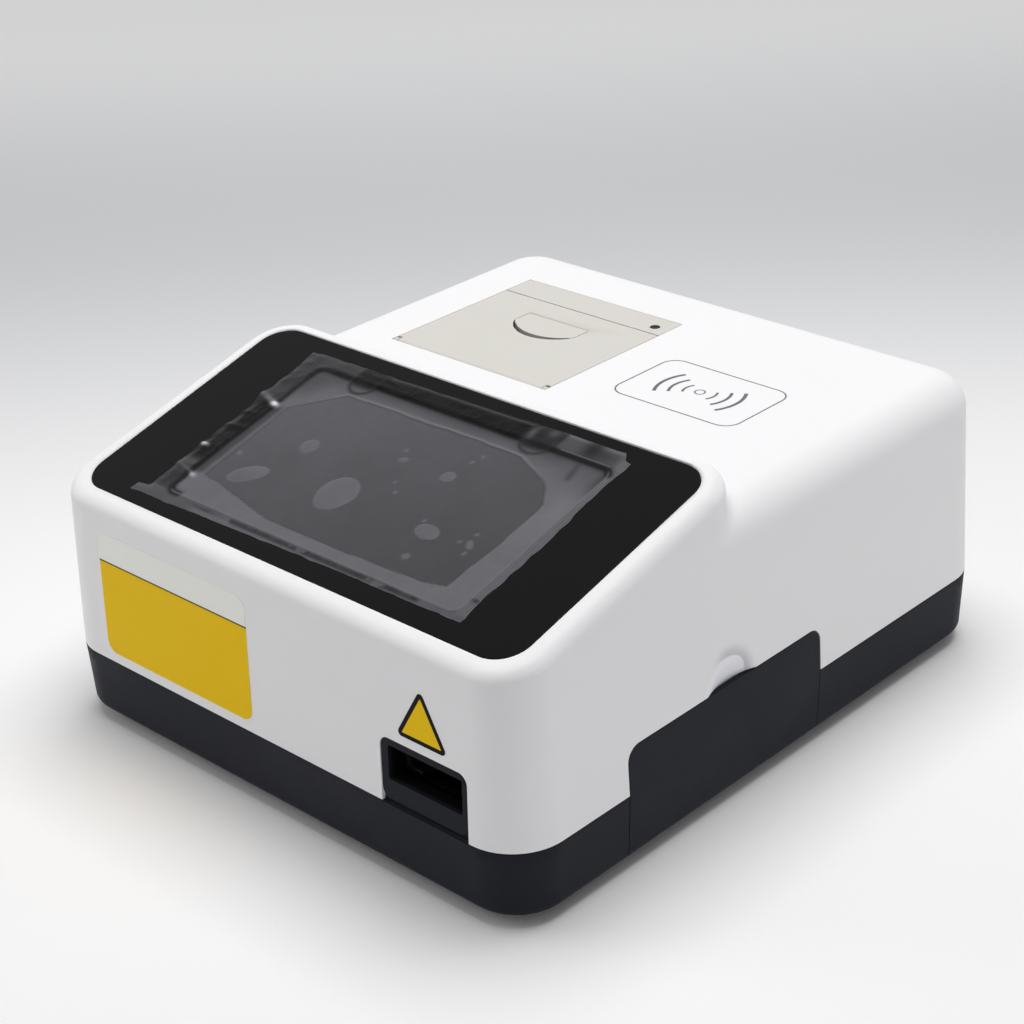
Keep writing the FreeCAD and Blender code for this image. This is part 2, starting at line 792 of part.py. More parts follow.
# ---------------------------------------------------------------- case fittings
def case_screws():
    """Four long screws from underneath, in counterbores."""
    z = floor_top + 1
    return Part.makeCompound(
        [screw(x, y, z, case_screw_top - z - 1, -1) for x, y in post_points()])


def rubber_feet():
    feet = []
    for x, y in mirrored_pairs(half_width - foot_inset, half_depth - foot_inset + 8):
        foot = rod(foot_r - 0.2, (x, y, 0), (x, y, foot_height + foot_seat))
        foot = foot.makeChamfer(0.8, bottom_face(foot).Edges)
        feet.append(foot)
    return Part.makeCompound(feet)


def front_plate(x0, x1, z0, z1, r, y0, y1):
    """A round-cornered plate parallel to the front wall, between two depths behind its face."""
    plate = rounded_block(x0, x1, z0, z1, r, -y1, -y0)
    plate.Placement = Placement(Vector(0, -half_depth, seam), Rotation(X, 90 - case_lean))
    return plate


def slot_bezel():
    """The cassette slot's dark insert: a face almost flush in the case's cut, a flange behind
    the wall, a set-back step at the tray's rim, and a chute that goes on as a tunnel over
    the carrier, to keep daylight from the optics."""
    half = slot_cut_width / 2 - fit_gap
    x0, x1 = slot_cut_x - half, slot_cut_x + half
    back = wall + slot_flange
    face = front_plate(x0, x1, slot_face_low, slot_cut_top - fit_gap, slot_cut_r - fit_gap,
                       slot_recess, wall)
    flange = front_plate(x0 - 2 * slot_flange, x1 + slot_flange, lip_height + fit_gap,
                         slot_cut_top + 2 * slot_flange, 3.0, wall, back)
    step = front_plate(x0, x1, 0, lip_height + 2, 0.5, slot_recess + slot_step, back + slot_flange)
    hw, z1 = slot_width / 2, slot_low + slot_height
    cx0, cx1, cz1 = slot_x - hw - slot_chute_wall, slot_x + hw + slot_chute_wall, z1 + slot_chute_wall
    chute = front_plate(cx0, cx1, slot_low - slot_chute_wall, cz1, 1.0, slot_recess,
                        slot_recess + slot_chute_length)
    tunnel = front_plate(cx0, cx1, slot_low + 2 * slot_chute_wall, cz1, 1.0, slot_recess,
                         slot_recess + slot_tunnel_length)
    hole = front_plate(slot_x - hw, slot_x + hw, slot_low, z1, 0.8, -5, slot_tunnel_length + 5)
    return join([face, flange, step, chute, tunnel]).cut(hole)


def front_sticker():
    x = front_sticker_width / 2
    z0, z1 = front_sticker_low, front_sticker_low + front_sticker_height
    return front_plate(front_sticker_x - x, front_sticker_x + x, z0, z1, 5.0, -sticker_thickness, 0)


def slot_sticker():
    """A three-sided sticker with round corners over the slot."""
    r = slot_sticker_r
    inner = slot_sticker_side / math.sqrt(3) - 2 * r
    centre_z = slot_cut_top + slot_sticker_rise + slot_sticker_side / math.sqrt(12)
    discs, corners = [], []
    for i in range(3):
        a = math.radians(90 + 120 * i)
        x, z = slot_cut_x + inner * math.cos(a), centre_z + inner * math.sin(a)
        discs.append(Part.makeCylinder(r, sticker_thickness, Vector(x, z, 0)))
        for turn in (-60, 60):
            b = a + math.radians(turn)
            corners.append(Vector(x + r * math.cos(b), z + r * math.sin(b), 0))
    middle = Part.Face(Part.makePolygon(corners + corners[:1])).extrude(Vector(0, 0, sticker_thickness))
    sticker = join([middle] + discs)
    sticker.Placement = Placement(Vector(0, -half_depth, seam), Rotation(X, 90 - case_lean))
    return sticker


def door_hinge_pins():
    pins = []
    for y, side in hinge_places():
        y0, y1 = pin_span(y, side)
        pins.append(rod(door_pin_r, (door_axis_x, y0, door_axis_z), (door_axis_x, y1, door_axis_z)))
    return Part.makeCompound(pins)


def bay_liner():
    """The recess behind the door's upper half, seated on the battery bay's walls."""
    x0, x1 = slot_x + chassis_width / 2 + 1.0, half_width - tray_wall - 0.6
    z1 = seam + door_top + 1.5
    liner = box(x0, x1, door_front - 1.5, door_back + 1.5, chassis_z, z1)
    inside = box(x0 + 1.5, x1 + 5, door_front, door_back, chassis_z + 1.5, z1 - 1.5)
    hatch = box(bay_x1 - 0.5, x1 + 5, door_front, door_back, chassis_z - 1, chassis_z + 2)
    return liner.cut(inside).cut(hatch).cut(scoop_ball(scoop_skin + fit_gap))


def battery_pack():
    """Cells side by side in a shrink wrap."""
    y = (door_front + door_back) / 2
    z = floor_top + cell_r
    first = bay_x0 + 1.5 + cell_r
    last = first + 2 * cell_r * (cell_count - 1)
    y0, y1 = y - cell_length / 2, y + cell_length / 2
    cells = [rod(cell_r, (x, y0, z), (x, y1, z)) for x in (first, last)]
    pack = join(cells + [box(first, last, y0, y1, floor_top, floor_top + 2 * cell_r)])
    grooves = []
    for i in range(cell_count - 1):
        x = first + cell_r * (2 * i + 1)
        for edge in (floor_top, floor_top + 2 * cell_r):
            corners = [Vector(x - 3, y0, edge), Vector(x + 3, y0, edge),
                       Vector(x, y0, edge + (1.6 if edge == floor_top else -1.6))]
            grooves.append(Part.Face(Part.makePolygon(corners + corners[:1])).extrude(
                Vector(0, cell_length, 0)))
    return pack.cut(Part.makeCompound(grooves))


def battery_connector():
    y0 = (door_front + door_back) / 2 + cell_length / 2 + fit_gap
    block = box(bay_x0, bay_x0 + 9, y0, door_back, floor_top, floor_top + 9)
    slots = [box(bay_x0 + 1.5 + i * 2.4, bay_x0 + 2.7 + i * 2.4, y0 - 1, y0 + 5,
                 floor_top + 2, floor_top + 7) for i in range(3)]
    return block.cut(Part.makeCompound(slots))


# ---------------------------------------------------------------- screen
def display_glass():
    glass = glass_block(0, -glass_thickness, 0)
    edges = top_face(glass).Edges
    return glass.makeChamfer(0.25, edges)


def screen_film():
    x, s = film_width / 2, (glass_length - film_length) / 2
    return on_glass(rounded_block(-x, x, s, s + film_length, 2.0, 0, film_thickness))


def lcd_module():
    x, s = lcd_width / 2, (glass_length - lcd_length) / 2
    block = box(-x, x, s, s + lcd_length, -glass_thickness - lcd_thickness, -glass_thickness)
    return on_glass(block)


def display_bracket():
    """A sheet-metal plate behind the display, with windows and turned-down sides."""
    low = -glass_thickness - lcd_thickness
    x = lcd_width / 2 + bracket_ear
    reach = lcd_length / 2 - display_screw_inset + bracket_margin
    s0, s1 = glass_length / 2 - reach, glass_length / 2 + reach
    plate = rounded_block(-x, x, s0, s1, bracket_corner_r, low - bracket_thickness, low)
    sides = [box(side * x - bracket_thickness * (side > 0), side * x + bracket_thickness * (side < 0),
                 s0 + 2 * bracket_corner_r, s1 - 2 * bracket_corner_r, low - bracket_skirt,
                 low - bracket_thickness / 2) for side in (-1, 1)]
    plate = join([plate] + sides)
    half, rim = bracket_window_width / 2, 2 * bracket_margin
    windows = [rounded_block(c * bracket_window_pitch - half, c * bracket_window_pitch + half,
                             s0 + rim, s1 - rim, bracket_corner_r + 1, low - 5, low + 1)
               for c in (-1, 0, 1)]
    holes = [Part.makeCylinder(screw_shank_r, 5, Vector(x, s, low - 3)) for x, s in display_points()]
    return on_glass(plate.cut(Part.makeCompound(windows + holes)))


def display_screws():
    low = -glass_thickness - lcd_thickness - bracket_thickness
    return Part.makeCompound(
        [on_glass(screw(x, s, low, display_screw_length, -1)) for x, s in display_points()])


def antenna_board():
    top = deck_top - wall
    x, y = antenna_width / 2, antenna_length / 2
    return rounded_block(antenna_x - x, antenna_x + x, antenna_y - y, antenna_y + y, 3.0,
                         top - board_thickness, top)


# ---------------------------------------------------------------- cassette drive
def rod_places():
    return [slot_x - rod_spacing / 2, slot_x + rod_spacing / 2]


def drive_chassis():
    """A bent sheet: a floor with an ear in front and a motor plate at the back."""
    x0, x1 = slot_x - chassis_width / 2, slot_x + chassis_width / 2
    t = chassis_thickness
    plate = box(x0, x1, chassis_front, chassis_back, chassis_z, chassis_top)
    ear = box(x0 + 5, x1 - 5, chassis_front, chassis_front + t, chassis_z, carrier_z - fit_gap)
    back = box(x0 + 5, x1 - 5, chassis_back - t, chassis_back, chassis_z, rod_z + motor_size / 2 + 2)
    chassis = join([plate, ear, back])
    cuts = []
    for x in rod_places():
        cuts.append(rod(rod_r, (x, chassis_front - 1, rod_z), (x, chassis_back + 1, rod_z)))
    cuts.append(rod(bearing_r, (slot_x, chassis_front - 1, rod_z), (slot_x, chassis_front + 5, rod_z)))
    cuts.append(rod(motor_boss_r + run_gap, (slot_x, chassis_back - 5, rod_z),
                    (slot_x, chassis_back + 1, rod_z)))
    for x, y in chassis_points():
        cuts.append(rod(screw_shank_r, (x, y, chassis_z - 1), (x, y, chassis_top + 1)))
    for y in (chassis_front + 30, (chassis_front + chassis_back) / 2, chassis_back - 50):
        cuts.append(rounded_block(slot_x - chassis_window, slot_x + chassis_window,
                                  y - 1.5 * chassis_window, y + 1.5 * chassis_window, 5.0,
                                  chassis_z - 1, chassis_top + 1))
    return chassis.cut(Part.makeCompound(cuts))


def chassis_screws():
    return Part.makeCompound(
        [screw(x, y, chassis_top, chassis_screw_length, 1) for x, y in chassis_points()])


def guide_rods():
    return Part.makeCompound(
        [rod(rod_r, (x, chassis_front, rod_z), (x, chassis_back, rod_z)) for x in rod_places()])


def cassette_carrier():
    """The drawer that takes a test cassette: a bed with side walls and two guide ribs,
    on bushes that slide on the rods."""
    half = carrier_width / 2
    back = carrier_front + carrier_length
    body = box(slot_x - half, slot_x + half, carrier_front, back, carrier_z, carrier_z + carrier_height)
    bed = box(slot_x - half + carrier_side, slot_x + half - carrier_side, carrier_front - 1,
              back - carrier_back, carrier_z + carrier_floor, carrier_z + 2 * carrier_height)
    body = body.cut(bed)
    rib = cassette_width / 2 + cassette_play
    parts = [body]
    for side in (-1, 1):
        x0, x1 = sorted((slot_x + side * rib, slot_x + side * (half - carrier_side + 0.1)))
        parts.append(box(x0, x1, carrier_front + 6, back - carrier_back + 0.5,
                         carrier_z, carrier_z + 2 * carrier_floor))
    under = chassis_top + 0.4
    for x in rod_places():
        parts.append(box(x - bush_half, x + bush_half, back - bush_length, back, under, carrier_z + 0.1))
    parts.append(box(slot_x - nut_r - 2, slot_x + nut_r + 2, back - nut_length, back,
                     under, carrier_z + 0.1))
    body = join(parts)
    cuts = [rod(carrier_notch_r, (slot_x, carrier_front, carrier_z - 1),
                (slot_x, carrier_front, carrier_z + carrier_floor + 1))]
    for x in rod_places():
        cuts.append(rod(rod_r + run_gap, (x, back - bush_length - 1, rod_z), (x, back + 1, rod_z)))
    cuts.append(rod(nut_r, (slot_x, back - nut_length - 1, rod_z), (slot_x, back + 1, rod_z)))
    return body.cut(Part.makeCompound(cuts))


def carrier_nut():
    back = carrier_front + carrier_length
    nut = rod(nut_r, (slot_x, back - nut_length, rod_z), (slot_x, back, rod_z))
    bore = rod(screw_r + run_gap, (slot_x, back - nut_length - 1, rod_z), (slot_x, back + 1, rod_z))
    return nut.cut(bore)


def lead_screw():
    start = chassis_front + chassis_thickness + 0.6
    thread = rod(screw_r, (slot_x, start, rod_z), (slot_x, chassis_back + 8, rod_z))
    journal = rod(screw_journal_r, (slot_x, chassis_front, rod_z), (slot_x, start + 1, rod_z))
    return thread.fuse(journal).removeSplitter()


def screw_bearing():
    y0, y1 = chassis_front, chassis_front + chassis_thickness + 0.4
    ring = rod(bearing_r, (slot_x, y0, rod_z), (slot_x, y1, rod_z))
    return ring.cut(rod(screw_journal_r + run_gap, (slot_x, y0 - 1, rod_z), (slot_x, y1 + 1, rod_z)))


def drive_motor():
    h = motor_size / 2
    body = rounded_block(-h, h, -h, h, 2.5, 0, motor_length)
    body.Placement = Placement(Vector(slot_x, chassis_back + motor_length, rod_z), Rotation(X, 90))
    boss = rod(motor_boss_r, (slot_x, chassis_back - chassis_thickness, rod_z),
               (slot_x, chassis_back + 1, rod_z))
    bore = rod(screw_r + run_gap, (slot_x, chassis_back - 5, rod_z), (slot_x, chassis_back + 8.5, rod_z))
    return body.fuse(boss).removeSplitter().cut(bore)


def home_sensor():
    """A slotted light gate beside the carrier's back end."""
    x0 = slot_x + carrier_width / 2 + 2 * fit_gap
    x1 = x0 + sensor_width
    y = carrier_front + carrier_length - 10
    body = box(x0, x1, y - sensor_length / 2, y + sensor_length / 2,
               chassis_top, chassis_top + sensor_height)
    return body.cut(box(x0 - 1, x1 - sensor_wall, y - sensor_gap / 2, y + sensor_gap / 2,
                        chassis_top + 3, chassis_top + sensor_height + 1))


def head_y():
    return carrier_front + carrier_length / 2 + 1


def head_z():
    return carrier_z + carrier_height + head_clearance


def optics_bridge():
    """A bent sheet that carries the optical head over the carrier."""
    t, half = chassis_thickness, chassis_width / 2 - 1
    y0, y1 = head_y() - head_depth / 2, head_y() + head_depth / 2
    legs = [box(slot_x + side * half - t * (side > 0), slot_x + side * half + t * (side < 0),
                y0, y1, chassis_top, head_z() + t) for side in (-1, 1)]
    top = box(slot_x - half, slot_x + half, y0, y1, head_z(), head_z() + t)
    bridge = join(legs + [top])
    hole = rod(head_bore_r + 0.5, (slot_x, head_y(), head_z() - 1), (slot_x, head_y(), head_z() + t + 1))
    return bridge.cut(hole)


def optical_head():
    """The reader's light-tight block, with a bore for the lens and side bores for the lamp."""
    z0 = head_z() + chassis_thickness
    w, d = head_width / 2, head_depth / 2
    block = rounded_block(slot_x - w, slot_x + w, head_y() - d, head_y() + d, 2.0, z0, z0 + head_height)
    lamp_z = z0 + lamp_rise
    bore = rod(head_bore_r, (slot_x, head_y(), z0 - 1), (slot_x, head_y(), z0 + head_height - head_lid))
    eye = rod(head_eye_r, (slot_x, head_y(), z0), (slot_x, head_y(), z0 + head_height + 1))
    lamp = rod(lamp_r, (slot_x, head_y() - d - 1, lamp_z), (slot_x, head_y(), lamp_z))
    return block.cut(bore).cut(eye).cut(lamp)


def excitation_lamp():
    z = head_z() + chassis_thickness + lamp_rise
    y = head_y() - head_depth / 2
    stem = rod(lamp_r, (slot_x, y, z), (slot_x, y + lamp_stem, z))
    rim = rod(lamp_r + lamp_rim, (slot_x, y - 1.2, z), (slot_x, y, z))
    return stem.fuse(rim).removeSplitter()


def head_lens():
    """A convex lens in the head's bore."""
    z = head_z() + chassis_thickness
    lens = Part.makeSphere(lens_curve_r, Vector(slot_x, head_y(), z + lens_curve_r + 1.0))
    disc = rod(head_bore_r, (slot_x, head_y(), z + lens_low),
               (slot_x, head_y(), z + lens_low + lens_thickness))
    return lens.common(disc)


def detector_board():
    z = head_z() + chassis_thickness + head_height
    board = box(slot_x - head_width / 2, slot_x + head_width / 2, head_y() - head_depth / 2,
                head_y() + head_depth / 2, z, z + board_thickness)
    cell = rod(head_eye_r, (slot_x, head_y(), z - head_lid / 2), (slot_x, head_y(), z + 0.5))
    return board.fuse(cell).removeSplitter()


# ---------------------------------------------------------------- electronics and rear
def main_board():
    x0 = main_board_x - main_board_width / 2
    x1 = main_board_x + main_board_width / 2
    y0 = board_back - main_board_depth
    board = box(x0, x1, y0, board_back, board_z, board_z + board_thickness)
    pitch, z = main_board_width / 5, board_z + board_thickness
    chips = []
    for i, (side, height) in enumerate(((0.55, 1.0), (0.4, 0.8), (0.7, 1.3), (0.3, 4.0))):
        x, y, w = x0 + (i + 0.7) * pitch, y0 + pitch * 0.7, side * pitch
        chips.append(box(x, x + w, y, y + w, z - 0.1, z + height * 2))
    board = join([board] + chips)
    holes = [rod(screw_shank_r, (x, y, board_z - 1), (x, y, board_z + 5)) for x, y in board_points()]
    return board.cut(Part.makeCompound(holes))


def board_screws():
    return Part.makeCompound(
        [screw(x, y, board_z + board_thickness, board_screw_length, 1) for x, y in board_points()])


def port_block(name):
    x0, x1, height = port_places()[name]
    z = board_z + board_thickness
    return box(x0, x1, board_back - port_length, port_y + 0.6, z, z + height)


def usb_ports():
    """Two shells, each with a tongue inside."""
    ports = []
    for name in ("usb_a", "usb_b"):
        x0, x1, height = port_places()[name]
        z = board_z + board_thickness
        mouth = box(x0 + usb_shell, x1 - usb_shell, board_back - 0.6 * port_length, port_y + 2,
                    z + usb_shell, z + height - usb_shell)
        tongue = box(x0 + 2 * usb_shell, x1 - 2 * usb_shell, board_back - 0.7 * port_length,
                     port_y - usb_shell, z + height / 2, z + height / 2 + 1.8)
        ports.append(port_block(name).cut(mouth).fuse(tongue).removeSplitter())
    return Part.makeCompound(ports)


def lan_port():
    x0, x1, height = port_places()["lan"]
    x, z = (x0 + x1) / 2, board_z + board_thickness
    half, deep = lan_width / 2 - 2.1, board_back - 0.6 * port_length
    mouth = box(x - half, x + half, deep, port_y + 2, z + 1.6, z + lan_height - 4.3)
    key = box(x - half / 2, x + half / 2, deep, port_y + 2, z + lan_height - 4.5, z + lan_height - 1.9)
    return port_block("lan").cut(mouth).cut(key)


def dc_jack():
    x0, x1, height = port_places()["dc"]
    x, z = (x0 + x1) / 2, board_z + board_thickness + height / 2
    bore = rod(3.2, (x, board_back - 8, z), (x, port_y + 2, z))
    pin = rod(1.0, (x, board_back - 9, z), (x, port_y - 0.5, z))
    return port_block("dc").cut(bore).fuse(pin).removeSplitter()


def rocker_frame():
    z, back, pivot_y = rocker_z(), port_y - rocker_depth, port_y - rocker_pivot
    w, h = rocker_width / 2 - 0.2, rocker_height / 2 - 0.2
    body = box(rocker_x - w, rocker_x + w, back, port_y, z - h, z + h)
    rim = rounded_block(rocker_x - w - rocker_rim, rocker_x + w + rocker_rim, z - h - 1.2, z + h + 1.2,
                        1.0, 0, 1.2)
    rim.Placement = Placement(Vector(0, port_y + 1.2, 0), Rotation(X, 90))
    well = box(rocker_x - w + rocker_wall, rocker_x + w - rocker_wall, back + 1.2, port_y + 2,
               z - h + 1.0, z + h - 1.0)
    pivot = rod(rocker_axle_r + run_gap, (rocker_x, pivot_y, z - h + 0.3), (rocker_x, pivot_y, z + h - 0.3))
    return body.fuse(rim).removeSplitter().cut(well).cut(pivot)


def power_rocker():
    """A key that rocks left and right on trunnions, with a shallow V face, switched off."""
    z, pivot_y = rocker_z(), port_y - rocker_pivot
    w = rocker_width / 2 - 0.2 - rocker_wall - rocker_side_gap
    h = rocker_height / 2 - 0.2 - 1.0 - fit_gap
    y0, y1 = pivot_y - 3.0, port_y + 1.4
    corners = [Vector(rocker_x + x, y, z - h) for x, y in
               ((-w, y0), (w, y0), (w, y1), (0, y1 - 1.3), (-w, y1))]
    key = Part.Face(Part.makePolygon(corners + corners[:1])).extrude(Vector(0, 0, 2 * h))
    axle = rod(rocker_axle_r, (rocker_x, pivot_y, z - h - 0.8), (rocker_x, pivot_y, z + h + 0.8))
    rocker = key.fuse(axle).removeSplitter()
    return rocker.rotate(Vector(rocker_x, pivot_y, z), Z, -rocker_throw / 2)


def speaker():
    disc = Part.makeCylinder(speaker_r, speaker_height, speaker_place(floor_top))
    cone = Part.makeCone(4, speaker_r - 2, 2.5, speaker_place(floor_top + speaker_height - 2.5))
    return disc.cut(cone)


# ---------------------------------------------------------------- printer
def printer_box(half, y0, y1, z0, z1, near=0.0):
    """A pair of boxes, one on each side of the printer's middle, from near to half."""
    if not near:
        return box(printer_x - half, printer_x + half, y0, y1, z0, z1)
    return Part.makeCompound([
        box(printer_x - half, printer_x - near, y0, y1, z0, z1),
        box(printer_x + near, printer_x + half, y0, y1, z0, z1)])


def printer_rod(r, half, y, z, near=0.0):
    if not near:
        return rod(r, (printer_x - half, y, z), (printer_x + half, y, z))
    return Part.makeCompound([
        rod(r, (printer_x - half, y, z), (printer_x - near, y, z)),
        rod(r, (printer_x + near, y, z), (printer_x + half, y, z))])


def printer_frame():
    """The printer's bucket: a cradle for the roll, a bay for the motor and the print head,
    pockets for the gears, and the fixed strip behind the paper slit."""
    y0, y1 = printer_front + lid_gap, printer_back - lid_gap
    low, ledge = deck_top - printer_depth, deck_top - lid_thickness - 0.4
    outer = printer_box(frame_half, y0, y1, low, ledge)
    strip = printer_box(frame_half, slit_y, y1, ledge - 1, deck_top)
    lugs = printer_box(frame_half, y0, lid_axis_y + hinge_r, ledge - 1, lid_axis_z, pocket_half)
    knuckles = printer_rod(hinge_r, frame_half, lid_axis_y, lid_axis_z, pocket_half)
    flange = box(printer_x0 - 4, printer_x1 + 4, printer_front - 4, printer_back + 4,
                 deck_top - wall - 2.5, deck_top - wall)
    flange = flange.cut(box(printer_x0 - lid_gap, printer_x1 + lid_gap, printer_front - lid_gap,
                            printer_back + lid_gap, ledge, deck_top))
    frame = join([outer, strip, flange] + lugs.Solids + knuckles.Solids)

    cradle = paper_r + roll_gap
    rear = roll_y + cradle + 1.4
    cuts = [
        printer_rod(cradle, bay_half, roll_y, roll_z),
        printer_box(bay_half, roll_y - cradle, roll_y + cradle, roll_z, ledge + 1),
        printer_box(bay_half, rear, head_seat_y(), roll_z - 12, ledge + 1),
        printer_box(bay_half, rear, y1 - printer_wall, roll_z - 12, platen_z - 11),
        printer_box(bay_half, rear - 3, rear + 1, deck_top - 11, ledge + 1),
        printer_box(pocket_half, rear - 8, slit_y, platen_z - 38, ledge + 1, bay_half + partition),
        printer_box(pocket_half, slit_y - 1, y1 - printer_wall, platen_z - 38, deck_top - lid_thickness,
                    bay_half + partition),
        printer_rod(hinge_r + 0.35, pocket_half, lid_axis_y, lid_axis_z),
        printer_rod(hinge_pin_r, frame_half + 1, lid_axis_y, lid_axis_z),
        printer_box(bay_half + partition + 1, platen_y - platen_shaft_r - 0.4, platen_y + platen_shaft_r + 1.1,
                    platen_z, ledge + 1, bay_half - 1),
        printer_rod(platen_shaft_r + 0.4, bay_half + partition + 1, platen_y, platen_z, bay_half - 1),
        printer_rod(1.3, bay_half + partition + 0.5, pinion_y, pinion_z, bay_half - 0.5),
        rod(button_r + 0.15, (button_x(), button_y(), ledge - 6), (button_x(), button_y(), deck_top + 1)),
        box(button_x() - switch_half - 0.2, button_x() + switch_half + 0.2,
            button_y() - switch_half - 0.2, button_y() + switch_half + 0.2,
            deck_top - switch_drop, deck_top - lid_thickness),
    ]
    for cut in cuts:
        frame = frame.cut(cut)
    return frame


def head_seat_y():
    return slit_y + head_seat


def button_x():
    return printer_x1 - button_from_side


def button_y():
    return printer_back - button_from_back


def lever_plate(gap, front_gap, z0, z1):
    """The lift lever's outline: straight sides and back, and a bowed front."""
    half = lever_width / 2 + gap
    y1, shoulder = lever_y1 + gap, lever_y0 + lever_bow
    bow = Part.Arc(Vector(printer_x - half, shoulder, z0),
                   Vector(printer_x, lever_y0 - gap - front_gap, z0),
                   Vector(printer_x + half, shoulder, z0)).toShape()
    sides = Part.makePolygon([Vector(printer_x + half, shoulder, z0), Vector(printer_x + half, y1, z0),
                              Vector(printer_x - half, y1, z0), Vector(printer_x - half, shoulder, z0)])
    return Part.Face(Part.Wire([bow] + sides.Edges)).extrude(Vector(0, 0, z1 - z0))


def printer_lid():
    """A flush plate that rolls round its front edge, with the lever's well and the arms
    that hold the platen."""
    under = deck_top - lid_thickness
    back = slit_y - slit_width
    plate = printer_box(frame_half, lid_axis_y, back, under, deck_top)
    roll = printer_rod(hinge_r, frame_half, lid_axis_y, lid_axis_z)
    pad = printer_box(lever_width / 2 + lever_pad, lever_y0 - finger_gap - lever_pad, lever_y1 + lever_pad,
                      deck_top - 6.4, under + 0.1)
    parts = [plate, roll, pad]
    near = paper_width / 2 + 0.5
    for side in (-1, 1):
        x0, x1 = sorted((printer_x + side * near, printer_x + side * (near + arm_thickness)))
        arm = box(x0, x1, platen_y - 4.5, platen_y + 3.2, platen_z, under + 0.1)
        foot = rod(3.2, (x0, platen_y, platen_z), (x1, platen_y, platen_z))
        parts += [arm, foot]
        rib = printer_x + side * 24
        parts.append(box(rib - 0.8, rib + 0.8, lid_axis_y + 8, lever_y0 - 4, under - 1.8, under + 0.1))
    lid = join(parts)
    cuts = [
        printer_box(frame_half + 1, 0, lid_axis_y + hinge_r + fit_gap, under - 5, deck_top + 1,
                    pocket_half - fit_gap),
        lever_plate(0.35, finger_gap, deck_top - 5.0, deck_top + 1),
        printer_rod(hinge_pin_r + run_gap, frame_half, lid_axis_y, lid_axis_z),
        printer_rod(lever_pin_r, lever_width / 2 + 1.8, lever_axis_y, lever_axis_z),
        printer_rod(platen_shaft_r + run_gap, near + arm_thickness + 1, platen_y, platen_z),
    ]
    for cut in cuts:
        lid = lid.cut(cut)
    return lid


def lid_hinge_pin():
    return printer_rod(hinge_pin_r, frame_half, lid_axis_y, lid_axis_z)


def lift_lever():
    """The lever that lifts the lid: a bowed plate with a finger lip, on a pin at its back."""
    half = lever_width / 2
    plate = lever_plate(0, 0, deck_top - lever_thickness, deck_top)
    plate = plate.cut(printer_box(half + 1, lever_axis_y, lever_y1 + 1, 0, 200))
    back = printer_rod(lever_thickness / 2, half, lever_axis_y, lever_axis_z)
    lever = join([plate, back])
    return lever.cut(printer_rod(lever_pin_r + run_gap, half + 1, lever_axis_y, lever_axis_z))


def lever_pin():
    return printer_rod(lever_pin_r, lever_width / 2 + 1.8, lever_axis_y, lever_axis_z)


def spur_gear(teeth, y, z, tooth_angle, bore):
    """A spur gear about an X axis, with one tooth centred on tooth_angle, in degrees from +Y
    towards +Z. Each tooth has a root, a pitch and a tip width, with a little backlash."""
    pitch_r = gear_module * teeth / 2
    root_r, tip_r = pitch_r - 1.15 * gear_module, pitch_r + 0.85 * gear_module
    pitch = 2 * math.pi / teeth
    points = []
    for i in range(teeth):
        middle = math.radians(tooth_angle) + i * pitch
        for r, share in ((root_r, -0.34), (pitch_r, -0.22), (tip_r, -0.11),
                         (tip_r, 0.11), (pitch_r, 0.22), (root_r, 0.34)):
            a = middle + share * pitch
            points.append((y + r * math.cos(a), z + r * math.sin(a)))
    gear = profile_x(points, gear_x, gear_x + gear_width)
    return gear.cut(rod(bore, (gear_x - 1, y, z), (gear_x + gear_width + 1, y, z)))


def platen_shaft():
    x1 = gear_x + gear_width + 1.0
    x0 = printer_x - bay_half - partition - 2.0
    return rod(platen_shaft_r, (x0, platen_y, platen_z), (x1, platen_y, platen_z))


def platen_roller():
    rubber = printer_rod(platen_r, paper_width / 2, platen_y, platen_z)
    return rubber.cut(printer_rod(platen_shaft_r, paper_width, platen_y, platen_z))


def platen_gear():
    """A gap of this gear faces the idler, straight below."""
    return spur_gear(platen_teeth, platen_y, platen_z, -90 + 180 / platen_teeth, platen_shaft_r)


def idler_gear():
    return spur_gear(idler_teeth, idler_y, idler_z, 90, 1.5 + run_gap)


def idler_stud():
    x0, x1 = printer_x + bay_half + partition, printer_x + pocket_half
    return rod(1.5, (x0, idler_y, idler_z), (x1, idler_y, idler_z))


def motor_pinion():
    """The pinion's teeth are turned so that they mesh with the idler's."""
    step = 360 / idler_teeth
    offset = (90 - pinion_angle) % step
    tooth = pinion_angle + 180 - offset * idler_teeth / pinion_teeth + 180 / pinion_teeth
    gear = spur_gear(pinion_teeth, pinion_y, pinion_z, tooth, 0.9)
    shaft = rod(1.0, (printer_x + bay_half - 5, pinion_y, pinion_z),
                (gear_x + gear_width, pinion_y, pinion_z))
    return gear.fuse(shaft).removeSplitter()


def feed_motor():
    x1 = printer_x + bay_half
    can = rod(feed_motor_r, (x1 - feed_motor_length, pinion_y, pinion_z), (x1, pinion_y, pinion_z))
    return can.cut(rod(1.0 + run_gap, (x1 - 5.5, pinion_y, pinion_z), (x1 + 1, pinion_y, pinion_z)))


def head_line(depth, along):
    """A point of the print head's plane: depth behind the platen's surface, along up the plane."""
    a = math.radians(head_tilt)
    reach = platen_r + head_gap + depth
    return (platen_y + reach * math.cos(a) + along * math.sin(a),
            platen_z - reach * math.sin(a) + along * math.cos(a))


def print_head():
    half = paper_width / 2
    points = [head_line(0, -head_half), head_line(0, head_half),
              head_line(head_plate, head_half), head_line(head_plate, -head_half)]
    return profile_x(points, printer_x - half, printer_x + half)


def head_heatsink():
    """The head's aluminium carrier, between its tilted back and the frame's upright seat."""
    half = paper_width / 2 - 1
    high, low = head_line(head_plate, head_half), head_line(head_plate, -head_half - 1)
    points = [low, high, (head_seat_y(), high[1]), (head_seat_y(), low[1])]
    return profile_x(points, printer_x - half, printer_x + half)


